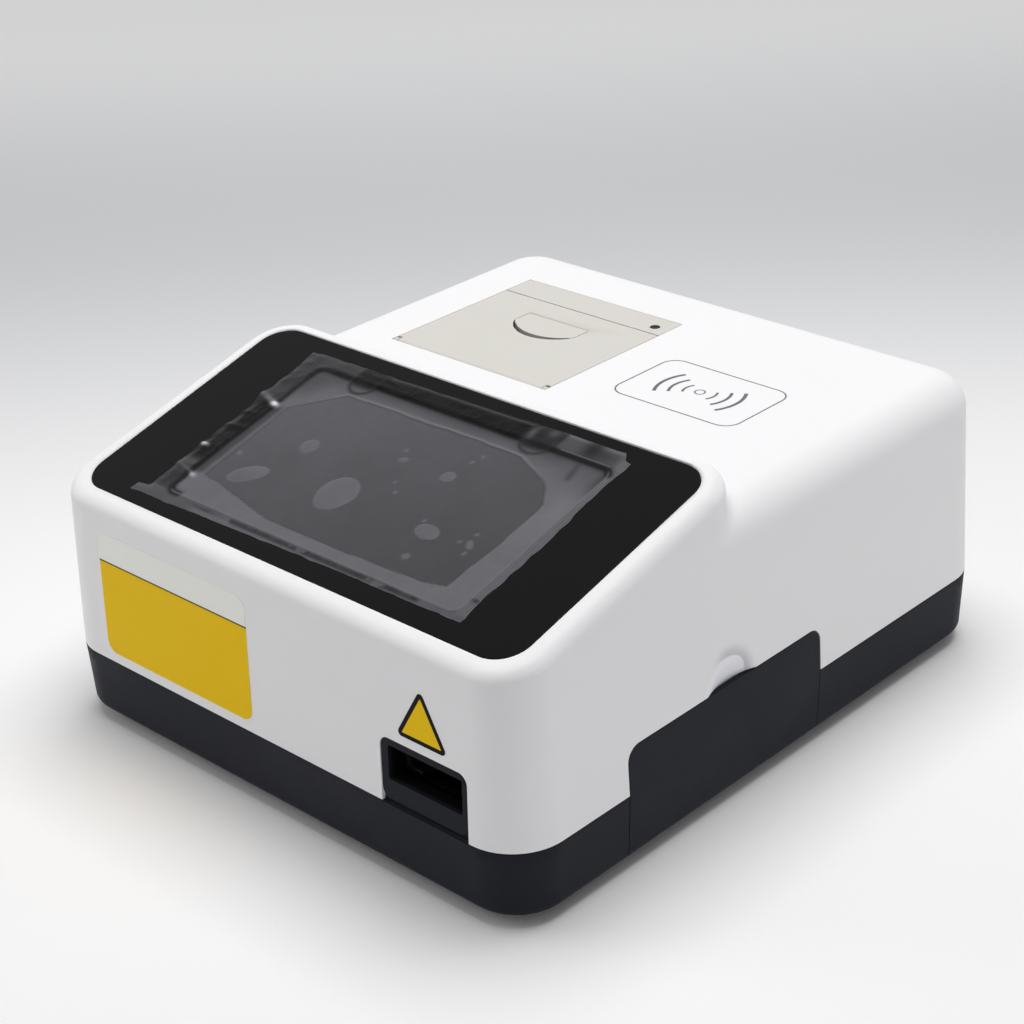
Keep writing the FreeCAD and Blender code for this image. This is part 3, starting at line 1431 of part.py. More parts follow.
def tear_bar():
    """A saw-edged strip on the fixed strip's front face."""
    half, teeth = paper_width / 2, 19
    low, high = deck_top - 2.4, deck_top - 0.9
    corners = [Vector(printer_x + half, slit_y, low), Vector(printer_x - half, slit_y, low)]
    for i in range(teeth):
        x = printer_x - half + (i + 0.5) * 2 * half / teeth
        corners.append(Vector(x - half / teeth, slit_y, high))
        corners.append(Vector(x, slit_y, high + 0.8))
    corners.append(Vector(printer_x + half, slit_y, high))
    return Part.Face(Part.makePolygon(corners + corners[:1])).extrude(Vector(0, -0.3, 0))


def paper_roll():
    roll = printer_rod(paper_r, paper_width / 2, roll_y, roll_z)
    return roll.cut(printer_rod(core_r, paper_width, roll_y, roll_z))


def paper_core():
    tube = printer_rod(core_r, paper_width / 2, roll_y, roll_z)
    return tube.cut(printer_rod(core_r - core_wall, paper_width, roll_y, roll_z))


def feed_button():
    x, y = button_x(), button_y()
    cap = rod(button_r, (x, y, deck_top - lid_thickness - 1), (x, y, deck_top - 0.2))
    under = deck_top - lid_thickness
    skirt = rod(button_r + 0.6, (x, y, under - 1.2), (x, y, under - 0.3))
    return cap.fuse(skirt).removeSplitter()


def feed_switch():
    x, y, z = button_x(), button_y(), deck_top - switch_drop
    body = box(x - switch_half, x + switch_half, y - switch_half, y + switch_half, z, z + switch_height)
    top = deck_top - lid_thickness - 1.2 - button_travel - 0.1
    return body.fuse(rod(1.6, (x, y, z + 3), (x, y, top))).removeSplitter()


# ---------------------------------------------------------------- all parts
makers = [
    upper_case, lower_case, case_screws, rubber_feet, slot_bezel, front_sticker, slot_sticker,
    side_door, door_hinge_pins, bay_liner, battery_pack, battery_connector,
    display_glass, screen_film, lcd_module, display_bracket, display_screws, antenna_board,
    drive_chassis, chassis_screws, guide_rods, cassette_carrier, carrier_nut, lead_screw,
    screw_bearing, drive_motor, home_sensor, optics_bridge, optical_head, excitation_lamp,
    head_lens, detector_board, main_board, board_screws, usb_ports, lan_port, dc_jack,
    rocker_frame, power_rocker, speaker, printer_frame, printer_lid, lid_hinge_pin,
    lift_lever, lever_pin, platen_shaft, platen_roller, platen_gear, idler_gear, idler_stud,
    motor_pinion, feed_motor, print_head, head_heatsink, tear_bar, paper_roll, paper_core,
    feed_button, feed_switch,
]
os.makedirs("parts", exist_ok=True)
for maker in makers:
    name = maker.__name__
    shape = maker()
    shape.exportStep(os.path.join("parts", name + ".step"))
    print(f"{name}: {len(shape.Solids)} solid(s), {shape.Volume / 1000:.2f} cm3")
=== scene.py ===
# %% [markdown]
# # A rapid test reader, dressed
# The solids of this bench instrument are already made and packed. This lesson gives them
# their looks: fine-textured mouldings, black printed glass under a crumpled protective film,
# labels, printing on the deck, metal and paper inside. Everything is in metres, in the
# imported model's own frame: X to the right, Y to the back, Z up, the table at zero.

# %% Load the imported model
import json
import math

import bpy
import bmesh
import numpy as np
from mathutils import Matrix, Vector


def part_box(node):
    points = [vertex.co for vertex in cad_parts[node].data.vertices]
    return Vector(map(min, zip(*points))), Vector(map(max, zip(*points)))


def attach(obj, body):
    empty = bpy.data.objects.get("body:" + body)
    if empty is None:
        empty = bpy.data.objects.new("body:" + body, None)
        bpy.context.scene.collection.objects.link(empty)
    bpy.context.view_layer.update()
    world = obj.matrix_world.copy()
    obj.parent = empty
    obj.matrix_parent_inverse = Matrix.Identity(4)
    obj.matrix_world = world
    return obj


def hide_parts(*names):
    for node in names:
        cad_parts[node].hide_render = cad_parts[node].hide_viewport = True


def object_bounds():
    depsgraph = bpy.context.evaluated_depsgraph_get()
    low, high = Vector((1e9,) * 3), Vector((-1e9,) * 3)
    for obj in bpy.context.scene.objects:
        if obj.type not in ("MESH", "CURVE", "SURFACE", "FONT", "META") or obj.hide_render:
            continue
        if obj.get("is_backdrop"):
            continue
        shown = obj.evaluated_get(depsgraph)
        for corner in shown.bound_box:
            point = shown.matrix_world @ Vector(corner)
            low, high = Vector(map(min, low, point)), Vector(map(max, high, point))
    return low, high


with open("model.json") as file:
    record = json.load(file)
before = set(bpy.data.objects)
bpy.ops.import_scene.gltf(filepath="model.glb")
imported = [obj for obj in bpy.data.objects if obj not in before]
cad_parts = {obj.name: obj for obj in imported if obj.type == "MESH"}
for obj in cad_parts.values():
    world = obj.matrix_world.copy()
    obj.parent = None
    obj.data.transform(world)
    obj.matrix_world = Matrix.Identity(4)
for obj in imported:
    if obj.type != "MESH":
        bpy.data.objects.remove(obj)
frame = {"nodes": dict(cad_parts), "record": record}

cad_box = [list(map(float, corner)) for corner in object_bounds()]
nodes = frame["nodes"]
print("nodes:", len(nodes), "box:", cad_box)

# %% [markdown]
# ## Camera
# The reader is seen from its front right corner and from above. A long lens far away keeps
# its edges almost parallel. A camera looks along its own -Z, with +Y up, so the aim is
# turned into those axes and then rolled by a small angle about the line of sight.

# %% Camera
def add_object(name, data):
    """A new object in the scene that shows some data."""
    thing = bpy.data.objects.new(name, data)
    bpy.context.scene.collection.objects.link(thing)
    return thing


eye = Vector((0.545698, -0.564808, 0.463114))
sight = Vector((-0.6252848, 0.6381938, -0.449141))
roll = math.radians(-2.7395)
focal_pixels, image_pixels, film_width = 2299.09, 1024, 36.0

level_right = sight.cross(Vector((0, 0, 1))).normalized()
level_up = level_right.cross(sight).normalized()
right = level_right * math.cos(roll) + level_up * math.sin(roll)
up = right.cross(sight)
camera = add_object("camera", bpy.data.cameras.new("camera"))
camera.matrix_world = Matrix((
    (right.x, up.x, -sight.x, eye.x),
    (right.y, up.y, -sight.y, eye.y),
    (right.z, up.z, -sight.z, eye.z),
    (0, 0, 0, 1),
))
camera.data.sensor_width = film_width
camera.data.lens = focal_pixels * film_width / image_pixels
camera.data.clip_start, camera.data.clip_end = 0.01, 50
bpy.context.scene.camera = camera
print("lens:", round(camera.data.lens, 2), "mm")

# %% [markdown]
# ## Small node-building helpers
# A material is a graph. These helpers keep each one short: `wire` adds a node, sets its
# plain values and joins its inputs. An input that is another node's socket is linked.

# %% Node helpers
def wire(tree, kind, out=0, settings=None, **inputs):
    """Add a node, apply its settings, join or set its inputs, and return one output."""
    node = tree.nodes.new(kind)
    for key, value in (settings or {}).items():
        setattr(node, key, value)
    for key, value in inputs.items():
        by_number = key[0] == "i" and key[1:].isdigit()
        socket = node.inputs[int(key[1:]) if by_number else key.replace("_", " ")]
        if isinstance(value, bpy.types.NodeSocket):
            tree.links.new(value, socket)
        else:
            socket.default_value = value
    return node.outputs[out]


def maths(tree, operation, a, b=0.0, c=0.0):
    return wire(tree, "ShaderNodeMath", settings={"operation": operation}, i0=a, i1=b, i2=c)


def vectors(tree, operation, a, b=(0.0, 0.0, 0.0)):
    """Vector arithmetic. LENGTH and DOT_PRODUCT give a number, the rest a vector."""
    out = 1 if operation in ("LENGTH", "DOT_PRODUCT") else 0
    return wire(tree, "ShaderNodeVectorMath", out=out, settings={"operation": operation},
                i0=a, i1=b)


def mix(tree, share, a, b):
    """Blend two colours."""
    node = tree.nodes.new("ShaderNodeMix")
    node.data_type = "RGBA"
    for index, value in ((0, share), (6, a), (7, b)):
        if isinstance(value, bpy.types.NodeSocket):
            tree.links.new(value, node.inputs[index])
        elif index == 0:
            node.inputs[index].default_value = value
        else:
            node.inputs[index].default_value = (*value[:3], 1.0)
    return node.outputs[2]


def smooth_step(tree, value, low, high):
    """0 below low, 1 above high, and an even rise between."""
    return wire(tree, "ShaderNodeMapRange", settings={"interpolation_type": "SMOOTHSTEP"},
                Value=value, From_Min=low, From_Max=high)


def place(tree):
    """The place of each point, in metres."""
    return wire(tree, "ShaderNodeTexCoord", out=3)


def noise(tree, at, scale, detail, **more):
    return wire(tree, "ShaderNodeTexNoise", Vector=at, Scale=scale, Detail=detail, **more)


print("helpers ready")

# %% [markdown]
# ## Effects that several finishes share
# Moulded plastic has a fine eroded grain from its steel mould, slow drifts of tone, and
# slightly polished patches where hands touch it. Sheet metal has rolling streaks. Each effect
# is a node group, built once, with named inputs, and every finish sets its own values.

# %% Shared effect groups
def new_group(name, inputs, outputs):
    group = bpy.data.node_groups.new(name, "ShaderNodeTree")
    for label, kind, value in inputs:
        socket = group.interface.new_socket(
            name=label, in_out="INPUT", socket_type="NodeSocket" + kind)
        socket.default_value = value
    for label, kind in outputs:
        group.interface.new_socket(
            name=label, in_out="OUTPUT", socket_type="NodeSocket" + kind)
    return group, group.nodes.new("NodeGroupInput"), group.nodes.new("NodeGroupOutput")


def build_grain():
    """Height of an eroded mould surface: fine pits over a softer, wider waviness."""
    group, get, put = new_group(
        "mould_grain",
        [("Pits per metre", "Float", 2500.0), ("Waviness", "Float", 0.3)],
        [("Height", "Float")])
    at = place(group)
    pits = noise(group, at, get.outputs[0], 2.0, Roughness=0.6)
    wave_scale = maths(group, "MULTIPLY", get.outputs[0], 0.02)
    waves = maths(group, "MULTIPLY", noise(group, at, wave_scale, 1.0), get.outputs[1])
    group.links.new(maths(group, "ADD", pits, waves), put.inputs[0])
    return group


def build_drift():
    """A colour that drifts slightly lighter and darker over the surface."""
    group, get, put = new_group(
        "tone_drift",
        [("Colour", "Color", (0.5, 0.5, 0.5, 1)),
         ("Shade", "Color", (0.4, 0.4, 0.4, 1)),
         ("Patches per metre", "Float", 14.0), ("Amount", "Float", 0.3)],
        [("Colour", "Color")])
    patches = noise(group, place(group), get.outputs[2], 3.0, Roughness=0.55)
    share = maths(group, "MULTIPLY", smooth_step(group, patches, 0.35, 0.75), get.outputs[3])
    group.links.new(mix(group, share, get.outputs[0], get.outputs[1]), put.inputs[0])
    return group


def build_touch():
    """Roughness that falls a little in patches where hands have polished the surface."""
    group, get, put = new_group(
        "handled",
        [("Roughness", "Float", 0.5), ("Polish", "Float", 0.08)],
        [("Roughness", "Float")])
    at = place(group)
    broad, fine = noise(group, at, 22.0, 4.0), noise(group, at, 160.0, 2.0)
    patches = maths(group, "MULTIPLY", smooth_step(group, broad, 0.4, 0.7), fine)
    drop = maths(group, "MULTIPLY", patches, get.outputs[1])
    group.links.new(maths(group, "SUBTRACT", get.outputs[0], drop), put.inputs[0])
    return group


def build_streaks():
    """Rolling streaks along X: noise squeezed across the streak and stretched along it."""
    group, get, put = new_group(
        "rolled_streaks",
        [("Across per metre", "Float", 1800.0)],
        [("Streak", "Float")])
    squeezed = wire(group, "ShaderNodeMapping", Vector=place(group), Scale=(0.03, 1.0, 1.0))
    group.links.new(noise(group, squeezed, get.outputs[0], 3.0), put.inputs[0])
    return group


groups = {"grain": build_grain(), "drift": build_drift(), "touch": build_touch(),
          "streaks": build_streaks()}
print("groups:", sorted(groups))


def use_group(tree, name, **inputs):
    """Place a shared effect in a material, with its own values."""
    node = tree.nodes.new("ShaderNodeGroup")
    node.node_tree = groups[name]
    for key, value in inputs.items():
        socket = node.inputs[key.replace("_", " ")]
        if isinstance(value, bpy.types.NodeSocket):
            tree.links.new(value, socket)
        else:
            socket.default_value = (*value, 1.0) if isinstance(value, tuple) else value
    return node.outputs[0]


# %% [markdown]
# ## Finishes
# `new_finish` starts a material and returns its tree and its shader. Constant values go
# straight onto the shader. What varies over the surface comes from the groups.

# %% Finish helpers
def new_finish(name, **plain):
    """A new material, its tree and its shader with plain values set."""
    material = bpy.data.materials.new(name)
    material.use_nodes = True
    tree = material.node_tree
    tree.nodes.clear()
    shader = tree.nodes.new("ShaderNodeBsdfPrincipled")
    output = tree.nodes.new("ShaderNodeOutputMaterial")
    tree.links.new(shader.outputs[0], output.inputs[0])
    for key, value in plain.items():
        shader.inputs[key.replace("_", " ")].default_value = value
    return material, tree, shader


def feed(tree, shader, name, value):
    tree.links.new(value, shader.inputs[name])


def bump(tree, shader, height, depth):
    """Turn a height into a tilted normal. depth is the height's full range in metres."""
    feed(tree, shader, "Normal", wire(
        tree, "ShaderNodeBump", Height=height, Distance=depth, Strength=1.0))


def drifting(tree, shader, colour, shade, rough, polish, drift):
    """Tone that drifts between two colours, and handled roughness."""
    feed(tree, shader, "Base Color", use_group(
        tree, "drift", Colour=colour, Shade=shade, Amount=drift))
    feed(tree, shader, "Roughness", use_group(tree, "touch", Roughness=rough, Polish=polish))


def plastic(tree, shader, colour, shade, rough, pits, depth, polish, drift=0.3):
    """Drifting tone and roughness over an eroded grain."""
    drifting(tree, shader, colour, shade, rough, polish, drift)
    bump(tree, shader, use_group(tree, "grain", Pits_per_metre=pits, Waviness=0.3), depth)


def moulding(name, colour, shade, rough, pits=2500.0, depth=0.00003, polish=0.1, drift=0.3,
             **plain):
    """Moulded plastic of one colour."""
    material, tree, shader = new_finish(name, **plain)
    plastic(tree, shader, colour, shade, rough, pits, depth, polish, drift)
    return material


def sheet_metal(name, colour, shade, rough, across=1800.0, depth=0.000006):
    """Rolled metal: streaks in its tone, its roughness and its surface."""
    material, tree, shader = new_finish(name, Metallic=1.0)
    streak = use_group(tree, "streaks", Across_per_metre=across)
    feed(tree, shader, "Base Color", mix(tree, streak, colour, shade))
    feed(tree, shader, "Roughness", maths(tree, "MULTIPLY_ADD", streak, 0.18, rough - 0.09))
    bump(tree, shader, streak, depth)
    return material


print("finish helpers ready")

# %% Mouldings
case_colour, case_shade = (0.86, 0.85, 0.86), (0.84, 0.83, 0.84)
tray_colour, tray_shade = (0.0138, 0.0148, 0.0208), (0.0172, 0.0185, 0.0245)
case_pits = 1900.0      # grain per metre of the two big mouldings
finishes = {
    "case_white": moulding("white_case", case_colour, case_shade, 0.46,
                           pits=case_pits, depth=0.000022, polish=0.12,
                           Specular_IOR_Level=0.2),
    "tray_charcoal": moulding("charcoal_tray", tray_colour, tray_shade, 0.54,
                              pits=case_pits, depth=0.00004, polish=0.14,
                              Specular_IOR_Level=0.09),
    "printer_beige": moulding("warm_grey_printer", (0.63, 0.61, 0.57), (0.60, 0.585, 0.54), 0.5,
                              pits=2200.0, depth=0.00003, Specular_IOR_Level=0.2),
    "dark_plastic": moulding("black_plastic", (0.009, 0.009, 0.010), (0.014, 0.014, 0.015), 0.45,
                             Specular_IOR_Level=0.14),
    "white_acetal": moulding("gear_plastic", (0.75, 0.75, 0.70), (0.68, 0.68, 0.62), 0.32,
                             pits=900.0, depth=0.00001, Subsurface_Weight=0.05),
    "soft_rubber": moulding("rubber", (0.014, 0.014, 0.014), (0.03, 0.03, 0.029), 0.78,
                            pits=1500.0, depth=0.00008, polish=0.05),
    "wrap_blue": moulding("battery_wrap", (0.012, 0.05, 0.22), (0.010, 0.035, 0.16), 0.25,
                          pits=300.0, depth=0.00015, Coat_Weight=0.4),
    "head_ceramic": moulding("glazed_head", (0.05, 0.055, 0.065), (0.03, 0.035, 0.04), 0.12,
                             pits=600.0, depth=0.000005),
}
print("mouldings:", len(finishes))

# %% Metals
metals = {
    "sheet_steel": sheet_metal("plated_sheet", (0.62, 0.63, 0.64), (0.50, 0.51, 0.53), 0.36),
    "bright_steel": sheet_metal("ground_steel", (0.78, 0.78, 0.79), (0.66, 0.66, 0.67), 0.16,
                                across=3500.0, depth=0.000002),
    "soft_aluminium": sheet_metal("plain_aluminium", (0.72, 0.73, 0.75), (0.6, 0.61, 0.63), 0.34),
    "black_aluminium": sheet_metal("black_anodised", (0.03, 0.03, 0.032), (0.02, 0.02, 0.022),
                                   0.42),
    "turned_brass": sheet_metal("turned_brass", (0.72, 0.50, 0.20), (0.58, 0.39, 0.14), 0.26,
                                across=3000.0, depth=0.000004),
}
finishes.update(metals)
print("metals:", sorted(metals))

# %% [markdown]
# ## Glass, paper, card and circuit boards
# The cover glass is printed black from behind, so it is a black body under a polished
# surface. The roll's ends show the edges of hundreds of turns of paper, which are rings
# round the roll's axis. A circuit board has dark green resist over lighter traces.

# %% Glass
def polished(name, colour, shade, rough, polish, drift, **plain):
    """A smooth finish, with no grain."""
    material, tree, shader = new_finish(name, **plain)
    drifting(tree, shader, colour, shade, rough, polish, drift)
    return material


finishes["screen_glass"] = polished("black_glass", (0.0058, 0.0058, 0.0059),
                                    (0.0070, 0.0070, 0.0072), 0.09, 0.05, 0.5,
                                    Specular_IOR_Level=0.042)
finishes["lens_glass"] = polished("lens", (0.93, 0.97, 0.96), (0.9, 0.95, 0.94), 0.03, 0.02,
                                  0.3, Transmission_Weight=1.0, IOR=1.5)
print("glass: screen_glass, lens_glass")


# %% Paper and card
roll_low, roll_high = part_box("paper_roll")
roll_middle = (roll_low + roll_high) / 2


def wound_paper(name, colour, shade, turns):
    """Rings round the roll's axis: the distance from it, times turns per metre, as a wave."""
    material, tree, shader = new_finish(name, Roughness=0.7)
    from_axis = vectors(tree, "SUBTRACT", place(tree), (0, roll_middle.y, roll_middle.z))
    radius = vectors(tree, "LENGTH", vectors(tree, "MULTIPLY", from_axis, (0, 1, 1)))
    wobble = noise(tree, place(tree), 60.0, 2.0)
    phase = maths(tree, "MULTIPLY_ADD", radius, turns, maths(tree, "MULTIPLY", wobble, 2.0))
    ring = maths(tree, "MULTIPLY_ADD", maths(tree, "SINE", phase), 0.5, 0.5)
    feed(tree, shader, "Base Color", mix(tree, ring, colour, shade))
    fibres = use_group(tree, "grain", Pits_per_metre=4000.0, Waviness=0.2)
    bump(tree, shader, maths(tree, "MULTIPLY_ADD", ring, 0.5, fibres), 0.00003)
    return material


finishes["roll_paper"] = wound_paper(
    "thermal_paper", (0.86, 0.86, 0.85), (0.78, 0.78, 0.77), 9000.0)
finishes["core_card"] = wound_paper(
    "core_card", (0.42, 0.29, 0.17), (0.34, 0.23, 0.13), 16000.0)
print("roll's axis:", round(roll_middle.y, 4), round(roll_middle.z, 4))


# %% Circuit board
def board_finish():
    """Green resist over a maze of copper: cell edges of a square-celled pattern."""
    material, tree, shader = new_finish("circuit_board", Coat_Weight=0.3)
    cells = wire(tree, "ShaderNodeTexVoronoi", settings={"distance": "CHEBYCHEV"},
                 Vector=place(tree), Scale=260.0, Randomness=0.75)
    lane = maths(tree, "FRACT", maths(tree, "MULTIPLY", cells, 5.0))
    trace = maths(tree, "SUBTRACT", smooth_step(tree, lane, 0.2, 0.35),
                  smooth_step(tree, lane, 0.5, 0.65))
    resist, over_copper = (0.010, 0.075, 0.030), (0.022, 0.15, 0.065)
    feed(tree, shader, "Base Color", mix(tree, trace, resist, over_copper))
    feed(tree, shader, "Roughness", use_group(tree, "touch", Roughness=0.35, Polish=0.1))
    bump(tree, shader, trace, 0.00003)
    return material


finishes["board_green"] = board_finish()
print("finishes so far:", sorted(finishes))

# %% [markdown]
# ## Labels
# Both labels are printed film, flat on the front wall. The print is worked out from the
# place on the label: a header strip over a yellow field with a thin dark line between, and a
# three-sided yellow field inside a dark border. No words or signs are on them.

# %% Label finishes
label_yellow, header_white = (0.88, 0.565, 0.004), (0.90, 0.90, 0.855)
print_line = (0.03, 0.028, 0.02)
header_height = 0.0116
sign_side, sign_round = 0.024, 0.0006


def printed_film(name, paint_of):
    """Smooth label film. paint_of adds the print's nodes and returns its colour."""
    material, tree, shader = new_finish(name, Specular_IOR_Level=0.06)
    feed(tree, shader, "Base Color", paint_of(tree))
    feed(tree, shader, "Roughness", use_group(tree, "touch", Roughness=0.42, Polish=0.1))
    bump(tree, shader, use_group(tree, "grain", Pits_per_metre=1200.0, Waviness=0.6), 0.00002)
    return material


def label_paint(tree):
    """Off-white above a thin line, yellow below it, by height."""
    at = wire(tree, "ShaderNodeSeparateXYZ", out=2, Vector=place(tree))
    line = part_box("front_sticker")[1].z - header_height
    upper = smooth_step(tree, at, line - 0.00015, line + 0.00015)
    paint = mix(tree, upper, label_yellow, header_white)
    away = maths(tree, "ABSOLUTE", maths(tree, "SUBTRACT", at, line))
    ink = maths(tree, "SUBTRACT", 1.0, smooth_step(tree, away, 0.00018, 0.00042))
    return mix(tree, ink, paint, print_line)


def sign_paint(tree):
    """Yellow inside a dark border: the least distance to the three sides, rounded."""
    low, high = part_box("slot_sticker")
    foot = vectors(tree, "SUBTRACT", place(tree), ((low.x + high.x) / 2, 0.0, low.z))
    inner = None
    for turn, start in ((0, 0.0), (120, sign_side / 2), (240, -sign_side / 2)):
        a = math.radians(turn)
        normal = (-math.sin(a), 0.0, math.cos(a))
        reach = maths(tree, "SUBTRACT", vectors(tree, "DOT_PRODUCT", foot, normal),
                      normal[0] * start)
        inner = reach if inner is None else wire(
            tree, "ShaderNodeMath", settings={"operation": "SMOOTH_MIN"},
            i0=inner, i1=reach, i2=sign_round)
    field = smooth_step(tree, inner, 0.00155, 0.00175)
    rim = smooth_step(tree, inner, 0.00030, 0.00045)
    paint = mix(tree, field, (0.004, 0.0045, 0.006), label_yellow)
    return mix(tree, rim, (0.008, 0.0085, 0.010), paint)


node_finish = {"front_sticker": printed_film("front_label", label_paint),
               "slot_sticker": printed_film("slot_label", sign_paint)}
print("labels:", sorted(node_finish))

# %% [markdown]
# ## The thumb scoop and the slot's throat
# Two places on big mouldings carry painted light and shade. The scoop above the side door
# has a painted highlight on its floor, with a painted soft shadow beside it. The slot's insert
# is the tray's colour on its face and matt black behind, a painted shade so that the throat
# looks empty. Both are masks worked out from the place on the piece, and the drive parts
# behind the slot are blackened steel, which also keeps the throat as dark as shade.

# %% Case with its thumb scoop
scoop_light = (0.0, -0.0275, 0.0486)     # middle of the painted highlight on the scoop's floor
scoop_light_r, scoop_painted_shadow_width = 0.0115, 0.0055
scoop_painted_light_tones = (                          # around it, the painted shadow, and the painted highlight on the floor
    (case_colour, (0.60, 0.60, 0.62), (0.88, 0.885, 0.915)),
    (case_shade, (0.59, 0.59, 0.61), (0.87, 0.875, 0.905)))


def case_with_painted_scoop_light():
    """White moulding: a painted highlight in a circle and a painted shadow past its upper rear
    edge.
    """
    material, tree, shader = new_finish("white_case_painted_scoop_light", Specular_IOR_Level=0.2)
    at = place(tree)
    away = vectors(tree, "MULTIPLY", vectors(tree, "SUBTRACT", at, scoop_light), (0, 1, 1))
    radius = vectors(tree, "LENGTH", away)
    up_back = vectors(tree, "DOT_PRODUCT", away, (0.0, 0.80, 0.60))
    right_wall = smooth_step(tree, wire(tree, "ShaderNodeSeparateXYZ", Vector=at), 0.100, 0.105)
    outside = smooth_step(tree, radius, scoop_light_r - 0.0003, scoop_light_r + 0.0003)
    fading = smooth_step(tree, radius, scoop_light_r, scoop_light_r + scoop_painted_shadow_width)
    # painted highlight on the scoop's floor, and painted shadow past its upper rear edge
    painted_floor_highlight = maths(tree, "MULTIPLY", maths(tree, "SUBTRACT", 1.0, outside), right_wall)
    painted_scoop_shadow = maths(tree, "MULTIPLY", maths(tree, "SUBTRACT", 1.0, fading),
                   smooth_step(tree, up_back, 0.0, 0.009))
    painted_scoop_shadow = maths(tree, "MULTIPLY", painted_scoop_shadow, right_wall)
    paint, shade_with_painted_light = (mix(tree, painted_floor_highlight, mix(tree, painted_scoop_shadow, plain, grey), bright)
                   for plain, grey, bright in scoop_painted_light_tones)
    plastic(tree, shader, paint, shade_with_painted_light, 0.46, case_pits, 0.000022, 0.12)
    return material


node_finish["upper_case"] = case_with_painted_scoop_light()
print("scoop floor:", scoop_light)


# %% Dark throat of the cassette slot
def bezel_with_painted_throat_shade():
    """The tray's plastic on the face, and matt black painted shade behind it, by depth."""
    material, tree, shader = new_finish("slot_throat_painted_shade", Specular_IOR_Level=0.07)
    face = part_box("slot_bezel")[0].y
    depth = wire(tree, "ShaderNodeSeparateXYZ", out=1, Vector=place(tree))
    # painted shade: the insert turns matt black deeper into the slot's throat
    inside = smooth_step(tree, depth, face + 0.0008, face + 0.0030)
    skin = use_group(tree, "drift", Colour=tray_colour, Shade=tray_shade, Amount=0.3)
    feed(tree, shader, "Base Color", mix(tree, inside, skin, (0.0008, 0.0008, 0.0009)))
    feed(tree, shader, "Roughness", maths(tree, "MULTIPLY_ADD", inside, 0.40, 0.52))
    bump(tree, shader, use_group(tree, "grain", Pits_per_metre=case_pits, Waviness=0.3), 0.00004)
    return material


node_finish["slot_bezel"] = bezel_with_painted_throat_shade()
# blackened steel for the drive parts behind the slot, which also stands in for the shade of its
# throat
blackened_for_throat_shade = sheet_metal("blackened_steel", (0.006, 0.006, 0.0065), (0.004, 0.004, 0.0045), 0.60,
                        across=3000.0)
node_finish.update(dict.fromkeys(
    ("guide_rods", "screw_bearing", "lead_screw", "drive_chassis"), blackened_for_throat_shade))
print("own finishes:", sorted(node_finish))

# %% [markdown]
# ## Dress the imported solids
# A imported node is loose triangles, so its curved faces look cut into flats. Each one gets a
# merged copy in its place. Edges sharper than a set angle stay sharp, and the weighted
# normals follow the large flat faces, so that roundings blend into them without a band.

# %% Merged and smoothed copies
slot_of = {part["node"]: part["material_slot"] for part in frame["record"]["subparts"]}
body_of = {name: body for body, names in frame["record"]["behaviour"]["bodies"].items()
           for name in names}
merge_within, sliver = 0.000004, 0.000002
strong_face = 16384     # what the modifier reads as a strong face; its negative is a weak one


def wide_flats(mesh, turn=0.4, width=0.004):
    """Which faces lie in a wide flat. Neighbours that differ by less than `turn` degrees
    join, and a group counts when its area over half its outline is more than `width`."""
    faces, edges = len(mesh.polygons), len(mesh.edges)
    normals, areas = np.empty(faces * 3, np.float32), np.empty(faces, np.float32)
    mesh.polygons.foreach_get("normal", normals)
    mesh.polygons.foreach_get("area", areas)
    normals = normals.reshape(-1, 3)
    points = np.empty(len(mesh.vertices) * 3, np.float32)
    mesh.vertices.foreach_get("co", points)
    ends, loop_edge = np.empty(edges * 2, np.int32), np.empty(len(mesh.loops), np.int32)
    mesh.edges.foreach_get("vertices", ends)
    mesh.loops.foreach_get("edge_index", loop_edge)
    sides = points.reshape(-1, 3)[ends.reshape(-1, 2)]
    length = np.linalg.norm(sides[:, 0] - sides[:, 1], axis=1)
    counts = np.empty(faces, np.int32)
    mesh.polygons.foreach_get("loop_total", counts)
    loop_face = np.repeat(np.arange(faces), counts)
    order = np.argsort(loop_edge, kind="stable")
    edge_sorted, face_sorted = loop_edge[order], loop_face[order]
    pair = np.flatnonzero(edge_sorted[1:] == edge_sorted[:-1])
    one, two, shared = face_sorted[pair], face_sorted[pair + 1], edge_sorted[pair]
    level = np.einsum("ij,ij->i", normals[one], normals[two]) > math.cos(math.radians(turn))
    one, two, shared = one[level], two[level], shared[level]
    group = np.arange(faces)
    while True:
        least = np.minimum(group[one], group[two])
        before = group.copy()
        np.minimum.at(group, one, least)
        np.minimum.at(group, two, least)
        group = group[group]
        if np.array_equal(before, group):
            break
    area = np.bincount(group, areas, faces)
    outline = np.bincount(group[loop_face], length[loop_edge], faces)
    outline -= 2 * np.bincount(group[one], length[shared], faces)
    return (area / np.maximum(outline / 2, 1e-9))[group] > width


def dress(name, sharp=32.0):
    """A merged, smoothly shaded copy of a node, with its finish, in the node's place."""
    mesh = nodes[name].data.copy()
    work = bmesh.new()
    work.from_mesh(mesh)
    bmesh.ops.remove_doubles(work, verts=work.verts, dist=merge_within)
    bmesh.ops.dissolve_degenerate(work, edges=work.edges, dist=sliver)
    work.to_mesh(mesh)
    work.free()
    mesh.polygons.foreach_set("use_smooth", np.ones(len(mesh.polygons), bool))
    mesh.set_sharp_from_angle(angle=math.radians(sharp))
    strength = mesh.attributes.new("__mod_weightednormals_faceweight", "INT", "FACE")
    strength.data.foreach_set(
        "value", np.where(wide_flats(mesh), strong_face, -strong_face).astype(np.int32))
    mesh.materials.clear()
    mesh.materials.append(node_finish.get(name) or finishes[slot_of[name]])
    piece = add_object(name + "_dressed", mesh)
    even = piece.modifiers.new("even_normals", "WEIGHTED_NORMAL")
    even.keep_sharp = even.use_face_influence = True
    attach(piece, body_of[name])
    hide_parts(name)
    return piece


dressed = {name: dress(name) for name in sorted(nodes) if name != "screen_film"}
print("dressed:", len(dressed), "faces:", sum(len(p.data.polygons) for p in dressed.values()))
